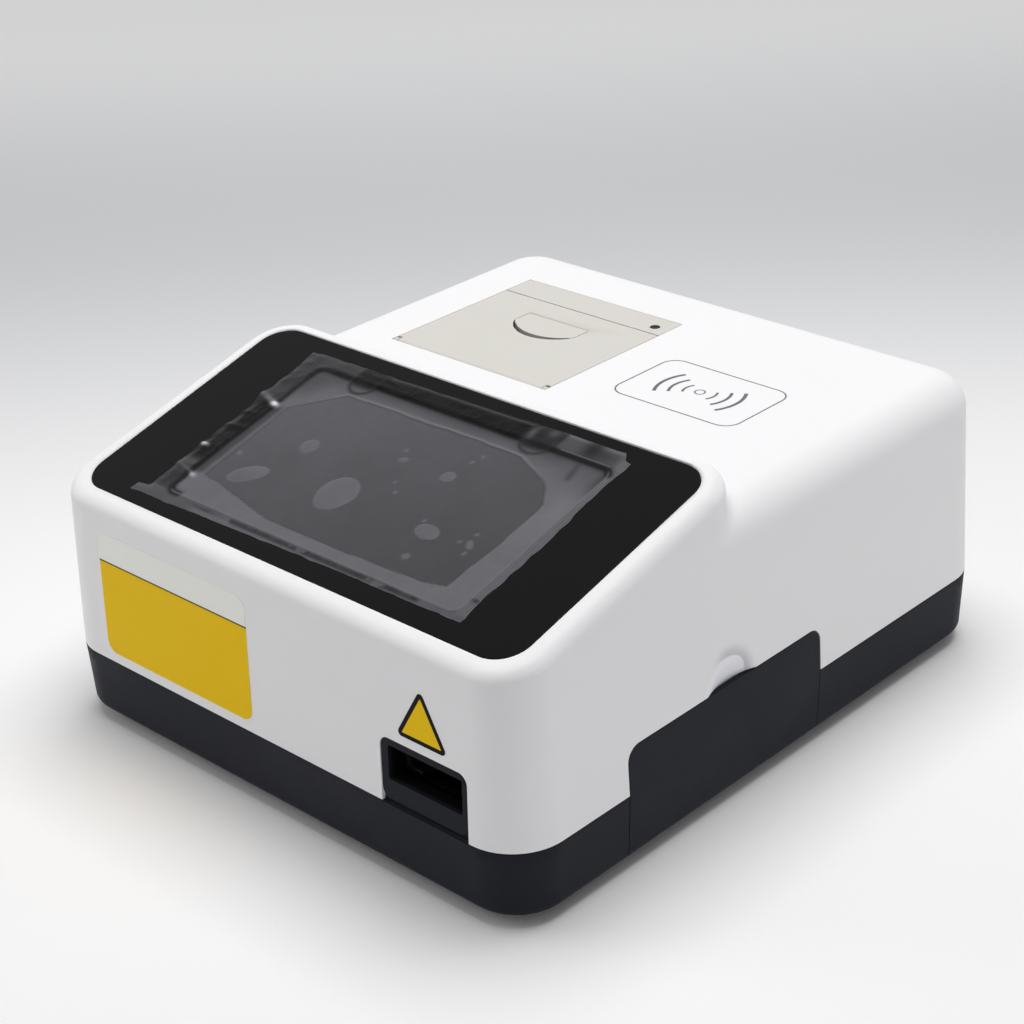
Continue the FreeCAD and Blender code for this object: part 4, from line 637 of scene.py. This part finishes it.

# %% [markdown]
# ## The protective film
# A soft film still covers the screen. It sticks in the middle, with air bubbles, and its
# margin has come loose. The sheet is a grid of points on the tilted glass, cut along an
# outline, with places in millimetres: x across and s up the slope. Height above the glass is
# a sum of bell shapes for the raised frame line, folds, tabs and bubbles. Two attributes go
# with it: stuck is 1 where the film holds on, and tone is a display grey from 0 to 255,
# painted with the same shapes. Mostly it is the film's haze, because film this thin shows
# more by its haze than its form, but it also holds painted glints, painted highlights along
# folds and the frame line, and a painted shadow beside the raised frame line.

# %% Noise on whole arrays
def lattice_noise(x, y, seed):
    """Smooth noise from -1 to 1: random values at whole numbers, blended by a cubic step."""
    rng = np.random.default_rng(seed)
    table = rng.uniform(-1, 1, (256, 256))
    xi, yi = np.floor(x).astype(int), np.floor(y).astype(int)
    fx, fy = x - xi, y - yi
    sx, sy = fx * fx * (3 - 2 * fx), fy * fy * (3 - 2 * fy)
    corner = lambda dx, dy: table[(xi + dx) % 256, (yi + dy) % 256]
    low = corner(0, 0) * (1 - sx) + corner(1, 0) * sx
    high = corner(0, 1) * (1 - sx) + corner(1, 1) * sx
    return low * (1 - sy) + high * sy


def folded_noise(x, y, seed, turns=4):
    """Crumple: sums of one minus the size of noise, sharp along its zero lines."""
    total, size = np.zeros_like(x), 1.0
    for turn in range(turns):
        total += size * (1 - np.abs(lattice_noise(x * 2 ** turn, y * 2 ** turn, seed + turn)))
        size *= 0.5
    return total / 2


# %% The film's surface
glass_tilt = math.radians(15)
glass_origin = np.array([0.0, -0.12525, 0.0973])
glass_up = np.array([0.0, math.cos(glass_tilt), math.sin(glass_tilt)])
glass_out = np.array([0.0, -math.sin(glass_tilt), math.cos(glass_tilt)])


def side_distance(x, s, corners):
    """Signed distance to a closed outline, positive inside, by its nearest side."""
    corners = np.asarray(corners, float)
    nearest = np.full(x.shape, 1e9)
    inside = np.zeros(x.shape, bool)
    for (ax, ay), (bx, by) in zip(corners, np.roll(corners, -1, 0)):
        dx, dy = bx - ax, by - ay
        t = np.clip(((x - ax) * dx + (s - ay) * dy) / (dx * dx + dy * dy), 0, 1)
        nearest = np.minimum(nearest, np.hypot(x - ax - t * dx, s - ay - t * dy))
        crosses = (ay > s) != (by > s)
        inside ^= crosses & (x < ax + (s - ay) * dx / (dy if dy else 1e-9))
    return np.where(inside, nearest, -nearest)


def step(value, low, high):
    """0 to 1 between two values, with level ends."""
    t = np.clip((value - low) / (high - low), 0, 1)
    return t * t * (3 - 2 * t)


def hump(value, middle, width):
    """Bell shape: 1 at the middle, falling off over the width."""
    return np.exp(-((value - middle) / width) ** 2)


# Corners of the film and of its stuck area, in order round each outline.
film_edge = [(-84.9, 5.6), (-60, 6.2), (-20, 7.4), (20, 8.2), (60, 8.7), (80.9, 9.0),
             (81.1, 11), (79.8, 22), (80.4, 40), (79.9, 58), (78.9, 80), (79.2, 98.8),
             (76.2, 99.3), (73.6, 102.8), (50, 102.8), (33, 102.5), (0, 101.3), (-52, 100.2),
             (-81.9, 99.7), (-80.4, 76), (-81.3, 71), (-79.5, 60), (-79.9, 40), (-79.0, 10.4),
             (-85.2, 9.2)]
sealed_edge = [(-47, 84.3), (-20, 84.6), (20, 85.1), (40, 84.9), (46, 82.4), (57, 78.2),
               (63, 72), (65.5, 68.5), (66.2, 50), (65, 35), (64.4, 20.3), (55, 18.2),
               (30, 17), (-8, 16.3), (-25, 17), (-40, 20.3), (-56, 23.6), (-63.5, 24.2),
               (-63.8, 45), (-64.4, 68.4)]
# Each bubble: its middle, its two half-widths and its turn in degrees.
bubbles = [(-8.1, 39.2, 8.1, 9.3, 0), (-48.2, 32.1, 8.0, 4.3, 38), (-38.2, 54.8, 3.7, 3.9, 0),
           (23.4, 64.6, 2.9, 2.6, 25), (37.8, 38.4, 5.4, 3.5, -8), (1.1, 64.6, 1.8, 1.2, 20),
           (40.1, 25.2, 1.5, 1.4, 0), (-60.8, 39.8, 1.4, 0.9, -40), (56.6, 40.0, 2.2, 1.2, -50),
           (25.9, 74.8, 0.9, 0.7, 0), (11.7, 49.3, 0.9, 0.6, -40), (27.6, 78.8, 0.9, 0.6, -50),
           (55.3, 45.2, 0.8, 0.8, 0), (52.2, 39.7, 0.8, 0.6, 30), (58.0, 35.7, 0.8, 0.8, 0),
           (32.7, 42.4, 0.8, 0.6, 0), (7.5, 53.8, 0.7, 0.6, 0), (-1.6, 69.2, 0.9, 0.7, 30)]
# Each fold: its two ends, how tall it stands and how wide it is.
folds = [((-80.6, 70.6), (-69.6, 67.0), 0.9, 1.6), ((-79, 37.2), (-76.5, 36.8), 1.0, 1.5),
         ((-79, 25.0), (-67.2, 21.9), 0.5, 1.2), ((-79.5, 50), (-74, 50.6), 0.4, 1.5),
         ((-79.5, 59), (-74, 59.4), 0.4, 1.5)]
# Each painted glint: its middle, half-widths, turn and grey. Each tab: the same, but unturned.
painted_glints = [(-70.6, 67.3, 2.1, 1.1, -12, 250), (-74.5, 68.6, 3.0, 0.9, -14, 105),
          (-77.4, 37.1, 1.7, 1.0, 0, 200), (-67.7, 21.9, 1.5, 0.9, -10, 165)]
tabs = [(-46.2, 93.0, 6.2, 6.6, 29), (40.4, 94.4, 6.9, 6.8, 34)]


def film_outline(x, s):
    """Distance inside the film's outline, which a little noise makes uneven."""
    mid = lattice_noise(x / 5, s / 5, 9)
    return side_distance(x + 0.5 * mid, s + 0.35 * mid, film_edge)


def frame_distance(x, s, x0, x1, s0, s1, r):
    """Distance inside a rounded rectangle, negative outside it."""
    px = np.abs(x - (x0 + x1) / 2) - (x1 - x0) / 2 + r
    ps = np.abs(s - (s0 + s1) / 2) - (s1 - s0) / 2 + r
    return r - np.hypot(np.maximum(px, 0), np.maximum(ps, 0)) - np.minimum(np.maximum(px, ps), 0)


def turned(x, s, cx, cs, a, b, turn):
    """Places measured from a middle along two turned axes, in the half-widths a and b."""
    c, d = math.cos(math.radians(turn)), math.sin(math.radians(turn))
    return ((x - cx) * c + (s - cs) * d) / a, ((s - cs) * c - (x - cx) * d) / b


def spot(x, s, cx, cs, a, b, turn=0.0):
    """Bell shape: 1 at its middle, falling off over the half-widths a and b, turned."""
    p, q = turned(x, s, cx, cs, a, b, turn)
    return np.exp(-p ** 2 - q ** 2)


def stroke(x, s, start, end, width):
    """Bell shape along a straight line between two points."""
    dx, ds = end[0] - start[0], end[1] - start[1]
    t = np.clip(((x - start[0]) * dx + (s - start[1]) * ds) / (dx * dx + ds * ds), 0, 1)
    return np.exp(-(((x - start[0] - t * dx) ** 2 + (s - start[1] - t * ds) ** 2) / width ** 2))


def tab_distance(x, s, cx, cs, a, b):
    """Distance from a tab's outline: a half ellipse below cs with straight sides above it."""
    q = np.where(s < cs, np.hypot((x - cx) / a, (s - cs) / b), np.abs(x - cx) / a)
    return (q - 1) * min(a, b)


def film_places():
    """Grid lines over the film, closer in its crumpled margins than in its smooth middle."""
    across = np.concatenate([np.arange(-86.0, -60.0, 0.5), np.arange(-60.0, 62.0, 0.7),
                             np.arange(62.0, 82.6, 0.5)])
    upward = np.concatenate([np.arange(4.6, 14.0, 0.42), np.arange(14.0, 84.0, 0.7),
                             np.arange(84.0, 104.2, 0.42)])
    return np.meshgrid(across, upward)


def paint(tone, value, share):
    """Move the tone towards a value by a share from 0 to 1."""
    return tone + (value - tone) * np.clip(share, 0, 1)


def film_look(x, s):
    """Rise above the glass in mm, tone as a display grey and stuck, at each place."""
    slow, mid, fine = (lattice_noise(x / wide, s / wide, seed)
                       for wide, seed in ((14, 5), (5, 9), (1.7, 13)))
    edge = film_outline(x, s)
    frame_in = frame_distance(x + 0.25 * slow, s + 0.2 * slow, -70.8, 76.7, 11.4, 93.2, 4.5)
    sealed = side_distance(x + 0.35 * mid, s + 0.35 * mid, sealed_edge)
    left, right = step(-x, 68, 72), step(x, 73, 77)
    top, low = step(s, 91, 94), step(-s, -12.5, -10.5)
    inside = step(frame_in, -0.4, 0.8)
    stuck = step(sealed, -0.35, 0.35)
    upper_left, lower_left = step(s, 66, 72), step(-s, -28, -22)
    middle_left = (1 - upper_left) * (1 - lower_left)
    flank = step(-x, 61.5, 65.5)

    # The loose margins: left flap, top strip, right strip and front strip.
    tone = 62 + 5 * slow + 4 * mid
    tone = paint(tone, 30 + 4 * mid, left * middle_left)
    for middle in (63.0, 54.0, 46.5):
        tone = paint(tone, 56, spot(x, s, -78.2, middle, 1.6, 2.4) * 0.8)
    tone = paint(tone, 78, left * hump(s, 27.5, 3.0))
    tone = paint(tone, 50, left * hump(s, 19.0, 4.0) * 0.8)
    tone = paint(tone, 54, left * hump(s, 82.0, 5.0) * 0.8)
    tone = paint(tone, 40 + 4 * mid, top * step(x, -53, -50) * step(-x, -35, -32))
    dashes = step(lattice_noise(x / 6.5, s / 2.2, 23) + 0.4 * fine, -0.05, 0.25)
    tone = paint(tone, 26 + 3 * mid - 0.12 * x,
                 top * step(x, -36, -32) * step(-x, -38, -34) * 0.9)
    tone = paint(tone, 24, dashes * step(x, -44, -38) * step(-x, -33, -30)
                 * hump(s - 0.012 * x, 98.0, 1.5))
    tone = paint(tone, 66, top * hump(s - 0.018 * x, 100.6, 0.6) * step(-x, -34, -32))
    tone = paint(tone, 80 + 5 * slow, top * step(x, 34, 38))
    tone = paint(tone, 62, top * spot(x, s, 68.5, 98.0, 6.0, 3.0))
    tone = paint(tone, 100, top * step(x, 46, 50) * hump(s, 102.2, 1.0))
    tone = paint(tone, 42, spot(x, s, 62.0, 99.5, 4.0, 6.0, 8))
    tone = paint(tone, 98 + 9 * np.sin(x * 5.2 + 2 * slow), right)
    tone = paint(tone, 90 + 4 * mid, low)
    tone = paint(tone, 99, low * step(-s, -9.3, -8.6))
    tone = paint(tone, 82, 0.8 * low * step(-x, 50, 56))
    gaps = step(0.7 * lattice_noise(x / 2.4, s / 2, 37) + 0.9 * np.cos((x - 2) / 6.2), 0.95, 1.15)
    dark_run = step(x, -35, -33) * step(-x, -62, -58) * (1 - gaps)
    dark_run = dark_run + 0.6 * spot(x, s, -48, 10.2, 5.5, 3)
    front_line = hump(s + 0.006 * (30 - x) + 0.15 * fine, 10.0, 0.95)
    tone = paint(tone, 61 + 6 * fine, 1.3 * dark_run * front_line)

    # Between the raised frame line and the stuck area, and the stuck area itself.
    margin = 105 + 3 * slow - 54 * np.exp(-np.maximum(frame_in, 0) / 4.5) * step(s, 70, 88)
    margin = paint(margin, 112, hump(sealed, -0.7, 0.7) * step(s, 78, 84))
    side_tone = 68 + 28 * hump(x, -65.0, 1.3) + 3 * mid
    margin = paint(margin, side_tone, flank * step(s, 23, 26) * step(-s, -69, -66))
    margin = paint(margin, 76, spot(x, s, -67, 88, 9, 10))
    margin = paint(margin, 116, 0.7 * spot(x, s, 72, 68, 6, 12))
    margin = paint(margin, 92, spot(x, s, 64.5, 86, 6.5, 5))
    margin = paint(margin, 68, stroke(x, s, (62.0, 93), (64.2, 83), 1.3) * 0.8)
    tone = paint(tone, margin, inside)
    field = 84 + 4.5 * np.tanh((s - 52) / 26) - 0.09 * x + 1.5 * slow
    tone = paint(tone, field, stuck)
    tone = paint(tone, field - 7, hump(sealed, 0.25, 0.35) * inside)

    # The frame line, with a painted shadow on its dark side and a painted highlight on its lit
    # side.
    darkest = np.maximum(step(x, -54, -42) * step(-x, -52, -42) * top, 0.7 * middle_left * left)
    line = 28 + 9 * flank - 20 * darkest
    shadow = 1.6 * hump(frame_in, 0.2, 1.35) * np.maximum(step(s, 88, 91), flank)
    shadow *= 1 - 0.15 * step(x, 46, 52) - 0.45 * flank * upper_left * step(-s, -88, -84)
    tone = paint(tone, line, shadow)
    lit = np.maximum(step(-s, -13, -12), step(x, 74, 76))
    tone = paint(tone, 112, hump(frame_in, 0.3, 0.45) * lit * 0.8)
    tone = paint(tone, 106, stroke(x, s, (51, 94.6), (73.5, 94.3), 0.35) * 0.8)

    # Height, with the crumpled flap and its folds.
    height = 0.05 + 0.10 * hump(frame_in, 0.0, 1.2)
    height += (1 - stuck) * (0.12 + 0.06 * slow + 0.03 * mid) * step(edge, 0, 2.5)
    crumple = folded_noise(x / 8, s / 6, 41)
    crumpled = (left + 0.6 * top * step(-x, -48, -40)) * step(edge, 0, 3) * (1 - inside)
    height += 0.55 * crumple ** 2 * crumpled
    for start, end, tall, wide in folds:
        height += tall * stroke(x, s, start, end, wide)
    # painted highlights along two folds, then the painted glints on the left flap
    tone = paint(tone, 96, stroke(x, s, (-81, 70.6), (-70, 67.6), 1.1))
    tone = paint(tone, 84, stroke(x, s, (-79.5, 25.2), (-68, 22.4), 0.7))
    for cx, cs, a, b, turn, glint_grey in painted_glints:
        tone = paint(tone, glint_grey, 1.3 * spot(x, s, cx, cs, a, b, turn))

    # The two pull tabs and what lies beside them.
    for cx, cs, a, b, dark in tabs:
        rim = tab_distance(x, s, cx, cs, a, b)
        tone = paint(tone, dark, step(-rim, 0, 1.6) * step(s, 88.5, 92) * 0.75)
        tone = paint(tone, dark, hump(rim, 0, 0.8) * 0.55)
        height += 0.12 * hump(rim, 0, 1.0)
    tone = paint(tone, 84, spot(x, s, 35.0, 97.5, 1.7, 4.0)
                 + 0.8 * spot(x, s, 43.0, 100.5, 2.2, 2.4))
    tone = paint(tone, 38, spot(x, s, 38.6, 97, 1.6, 4.5) * 0.8
                 + spot(x, s, 47.2, 99, 1.2, 4.2) * 0.8)
    tone = paint(tone, 52, spot(x, s, 78.4, 19.3, 1.4, 0.8))

    # Air bubbles: a dome each, paler than the stuck film and paler still at its rim.
    for bx, bs, a, b, turn in bubbles:
        p, q = turned(x, s, bx, bs, a, b, turn)
        reach = np.hypot(p, q) + 0.035 * mid
        blur = 0.35 / min(a, b)
        height += 0.10 * min(a, b) * np.clip(1 - reach ** 2, 0, 1)
        tone = paint(tone, 101 + 4 * p - 3 * q, step(1 + blur - reach, 0, 2 * blur) * stuck)
        tone = paint(tone, 109, hump(reach, 0.95, 0.6 * blur) * 0.5 * stuck)
        stuck = stuck * (1 - 0.8 * step(1 - reach, 0.0, 2 * blur))
    return {"rise": height, "tone": np.clip(tone, 8, 255), "stuck": stuck}


def outlined_sheet(name, x, s, edge_of, place_of, look_of):
    """The grid inside an outline as a mesh. Points just outside it move back onto it.

    look_of gives the mesh's attributes by name, and its rise is what place_of lifts by."""
    for turn in range(3):
        out = edge_of(x, s)
        slope_x, slope_s = edge_of(x + 0.02, s) - out, edge_of(x, s + 0.02) - out
        size = np.maximum(np.hypot(slope_x, slope_s), 1e-6)
        near = (out < 0) & (out > -1.0)
        x = np.where(near, x - out * slope_x / size, x)
        s = np.where(near, s - out * slope_s / size, s)
    keep = edge_of(x, s) > -0.05
    rows, columns = x.shape
    index = np.arange(rows * columns).reshape(rows, columns)
    corner = [(slice(None, -1), slice(None, -1)), (slice(None, -1), slice(1, None)),
              (slice(1, None), slice(1, None)), (slice(1, None), slice(None, -1))]
    whole = keep[corner[0]] & keep[corner[1]] & keep[corner[2]] & keep[corner[3]]
    quads = np.stack([index[c][whole] for c in corner], -1)
    used, quads = np.unique(quads, return_inverse=True)
    x, s = x.ravel()[used], s.ravel()[used]
    look = look_of(x, s)
    mesh = bpy.data.meshes.new(name)
    mesh.from_pydata(place_of(x, s, look["rise"]).tolist(), [], quads.reshape(-1, 4).tolist())
    for label, values in look.items():
        layer = mesh.attributes.new(label, "FLOAT", "POINT")
        layer.data.foreach_set("value", values.astype(np.float32).ravel())
    mesh.polygons.foreach_set("use_smooth", np.ones(len(mesh.polygons), bool))
    return mesh


def on_glass(x, s, rise):
    """Places on the tilted glass: x across, s up its slope, rise away from it, in mm."""
    return (glass_origin + (x[..., None] * np.array([1.0, 0, 0]) + s[..., None] * glass_up
                            + rise[..., None] * glass_out) / 1000)


film_mesh = outlined_sheet("protective_film", *film_places(), film_outline, on_glass, film_look)
film = add_object("protective_film", film_mesh)
print("film faces:", len(film_mesh.polygons))


# %% The film's finish
def attribute(tree, name):
    return wire(tree, "ShaderNodeAttribute", out=2, settings={"attribute_name": name})


def film_finish():
    """Grey haze and painted light over black glass. The tone, a display grey, becomes reflectance.
    """
    material, tree, shader = new_finish("crumpled_film", Specular_IOR_Level=0.05)
    tone, stuck = attribute(tree, "tone"), attribute(tree, "stuck")
    haze_with_painted_light = maths(tree, "POWER", maths(tree, "DIVIDE", tone, 255.0), 2.2)
    streaks = noise(tree, place(tree), 160.0, 4.0, Distortion=0.6)
    haze_with_painted_light = maths(tree, "MULTIPLY", haze_with_painted_light, maths(tree, "MULTIPLY_ADD", streaks, 0.16, 0.85))
    channels = {name: maths(tree, "MULTIPLY", haze_with_painted_light, share)
                for name, share in (("Red", 0.985), ("Green", 0.98), ("Blue", 1.07))}
    feed(tree, shader, "Base Color", wire(tree, "ShaderNodeCombineColor", **channels))
    feed(tree, shader, "Roughness", maths(tree, "MULTIPLY_ADD", stuck, 0.10, 0.24))
    fine = use_group(tree, "grain", Pits_per_metre=700.0, Waviness=1.2)
    loose = maths(tree, "MULTIPLY_ADD", stuck, -0.85, 1.0)
    bump(tree, shader, maths(tree, "MULTIPLY", fine, loose), 0.00010)
    return material


film_mesh.materials.append(film_finish())
thickness = film.modifiers.new("thickness", "SOLIDIFY")
thickness.thickness, thickness.offset = 0.00004, 1.0
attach(film, "housing")
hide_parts("screen_film")
print("film rides the housing")

# %% [markdown]
# ## Printing on the deck
# A contactless zone is printed on the rear deck: a thin rounded outline, a small ring and
# three arcs on each side of it. Each stroke is a flat band carried along a path, a few
# hundredths of a millimetre above the plastic, as thick ink is.

# %% Ink strokes
deck, ink_lift = 0.1126, 0.00003
zone_x, zone_y = 0.0448, 0.0502
zone_half_x, zone_half_y, zone_round = 0.029, 0.0192, 0.0066
ring_radius, half_angle = 0.0020, 33
arc_sizes = ((0.0067, 0.00095), (0.0120, 0.00125), (0.0174, 0.00145))    # radius, line width


def band(path, width, closed=False):
    """A flat band along a path: each point moves sideways by half the width, both ways."""
    path = np.asarray(path, float)
    if closed:
        along = np.roll(path, -1, 0) - np.roll(path, 1, 0)
    else:
        along = np.gradient(path, axis=0)
    along /= np.linalg.norm(along, axis=1, keepdims=True)
    aside = np.stack([-along[:, 1], along[:, 0]], 1) * width / 2
    edges = np.stack([path - aside, path + aside], 1)
    count = len(path)
    index = np.arange(count if closed else count - 1)
    following = (index + 1) % count
    quads = np.stack([2 * index, 2 * following, 2 * following + 1, 2 * index + 1], 1)
    points = np.concatenate([edges.reshape(-1, 2), np.full((2 * count, 1), deck + ink_lift)], 1)
    return points, quads


def arc_path(cx, cy, r, start, end, count=40):
    """Points at even angles round a centre, in degrees."""
    a = np.radians(np.linspace(start, end, count))
    return np.stack([cx + r * np.cos(a), cy + r * np.sin(a)], 1)


def rounded_path(x0, x1, y0, y1, r):
    """A rounded rectangle: four quarter circles, one after the other."""
    corners = ((x1 - r, y1 - r, 0), (x0 + r, y1 - r, 90),
               (x0 + r, y0 + r, 180), (x1 - r, y0 + r, 270))
    return np.concatenate([arc_path(cx, cy, r, a, a + 90, 16) for cx, cy, a in corners])


outline = rounded_path(zone_x - zone_half_x, zone_x + zone_half_x,
                       zone_y - zone_half_y, zone_y + zone_half_y, zone_round)
ring = arc_path(zone_x, zone_y, ring_radius, 0, 351)
strokes = [band(outline, 0.00062, closed=True), band(ring, 0.0006, closed=True)]
for radius, width in arc_sizes:
    for middle in (0, 180):
        arc = arc_path(zone_x, zone_y, radius, middle - half_angle, middle + half_angle)
        strokes.append(band(arc, width))
points, faces, start = [], [], 0
for stroke_points, stroke_quads in strokes:
    points.append(stroke_points)
    faces.append(stroke_quads + start)
    start += len(stroke_points)
ink_mesh = bpy.data.meshes.new("zone_print")
ink_mesh.from_pydata(np.concatenate(points).tolist(), [], np.concatenate(faces).tolist())
ink = add_object("zone_print", ink_mesh)
ink_mesh.materials.append(moulding("printing_ink", (0.11, 0.13, 0.14), (0.16, 0.18, 0.19), 0.5,
                                   pits=3000.0, depth=0.00001, drift=0.6, Specular_IOR_Level=0.2))
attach(ink, "housing")
print("ink strokes:", len(strokes))

# %% [markdown]
# ## Room and light
# The reader stands in a pale studio: a matt floor, a wide soft light overhead, two weaker
# ones at the sides and light from all around. The floor is a little greyer behind the reader
# and paler again past that. Where the camera, a reflection or a view through glass looks at
# it from far off, it fades into the white of the world, so that no horizon line shows. Light
# on its way to a surface still meets the painted floor and a dimmer world.

# %% Floor
def disc_mesh(name, radius, rings=24, spokes=96):
    """A flat disc: rings of points whose radius grows evenly from the middle."""
    r = np.linspace(0, radius, rings + 1)[1:]
    a = np.linspace(0, 2 * np.pi, spokes, endpoint=False)
    flat = np.zeros((rings, spokes))
    grid = np.stack([np.outer(r, np.cos(a)), np.outer(r, np.sin(a)), flat], -1)
    points = np.concatenate([[[0, 0, 0]], grid.reshape(-1, 3)])
    i, j = np.meshgrid(np.arange(rings - 1), np.arange(spokes), indexing="ij")
    k = (j + 1) % spokes
    base = 1 + i * spokes
    quads = np.stack([base + j, base + spokes + j, base + spokes + k, base + k], -1)
    centre = [[0, 1 + m, 1 + (m + 1) % spokes] for m in range(spokes)]
    mesh = bpy.data.meshes.new(name)
    mesh.from_pydata(points.tolist(), [], centre + quads.reshape(-1, 4).tolist())
    return mesh


floor_mesh = disc_mesh("floor", 6.0)
floor = add_object("floor", floor_mesh)
floor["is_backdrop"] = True
floor_material, tree, shader = new_finish("pale_sweep", Roughness=0.75, Specular_IOR_Level=0.2)
near_paint, grey_paint, far_paint = (0.94, 0.935, 0.94), (0.60, 0.605, 0.615), (0.86, 0.86, 0.865)
behind = vectors(tree, "DOT_PRODUCT", place(tree), (sight.x, sight.y, 0.0))
sweep = mix(tree, smooth_step(tree, behind, 0.02, 0.46), near_paint, grey_paint)
sweep = mix(tree, smooth_step(tree, behind, 0.48, 0.90), sweep, far_paint)
feed(tree, shader, "Base Color", sweep)


def seen_directly(tree):
    """1 for rays from the camera, from a reflection and through glass, 0 for light's own."""
    path = tree.nodes.new("ShaderNodeLightPath")
    rays = maths(tree, "MAXIMUM", path.outputs["Is Camera Ray"], path.outputs["Is Glossy Ray"])
    return maths(tree, "MAXIMUM", rays, path.outputs["Is Transmission Ray"])


sky_white = (0.985, 0.99, 1.0, 1.0)
from_middle = vectors(tree, "LENGTH", place(tree))
far_share = maths(tree, "MULTIPLY", smooth_step(tree, from_middle, 0.75, 2.3), seen_directly(tree))
far_white = wire(tree, "ShaderNodeEmission", Color=sky_white, Strength=1.0)
joined = wire(tree, "ShaderNodeMixShader", i0=far_share, i1=shader.outputs[0], i2=far_white)
finish_end = next(node for node in tree.nodes if node.bl_idname == "ShaderNodeOutputMaterial")
tree.links.new(joined, finish_end.inputs["Surface"])
floor_mesh.materials.append(floor_material)
print("floor faces:", len(floor_mesh.polygons))


# %% Lamps and world
def soft_lamp(name, place_at, size, power):
    """A rectangle of light turned towards the reader's middle."""
    lamp = bpy.data.lights.new(name, "AREA")
    lamp.shape, lamp.size, lamp.size_y = "RECTANGLE", size[0], size[1]
    lamp.energy = power
    holder = add_object(name, lamp)
    holder.location = place_at
    aim = Vector((0, 0, 0.05)) - Vector(place_at)
    holder.rotation_euler = aim.to_track_quat("-Z", "Y").to_euler()


soft_lamp("overhead", (0.0, 0.18, 1.35), (1.0, 1.0), 13.9)
soft_lamp("left_front", (-1.3, -0.9, 0.7), (0.8, 0.8), 4.55)
soft_lamp("right_rear", (1.4, 0.6, 0.3), (0.8, 0.4), 1.6)

world = bpy.data.worlds.new("studio")
world.use_nodes = True
bpy.context.scene.world = world
tree = world.node_tree
tree.nodes.clear()
strength = maths(tree, "MULTIPLY_ADD", seen_directly(tree), 0.69, 0.31)
background = wire(tree, "ShaderNodeBackground", Color=sky_white, Strength=strength)
out = tree.nodes.new("ShaderNodeOutputWorld")
tree.links.new(background, out.inputs[0])
bpy.context.scene.view_settings.view_transform = "Standard"
print("world and lamps ready")

# %% Sizes
look_box = [list(map(float, corner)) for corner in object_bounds()]
print("look box:", look_box)
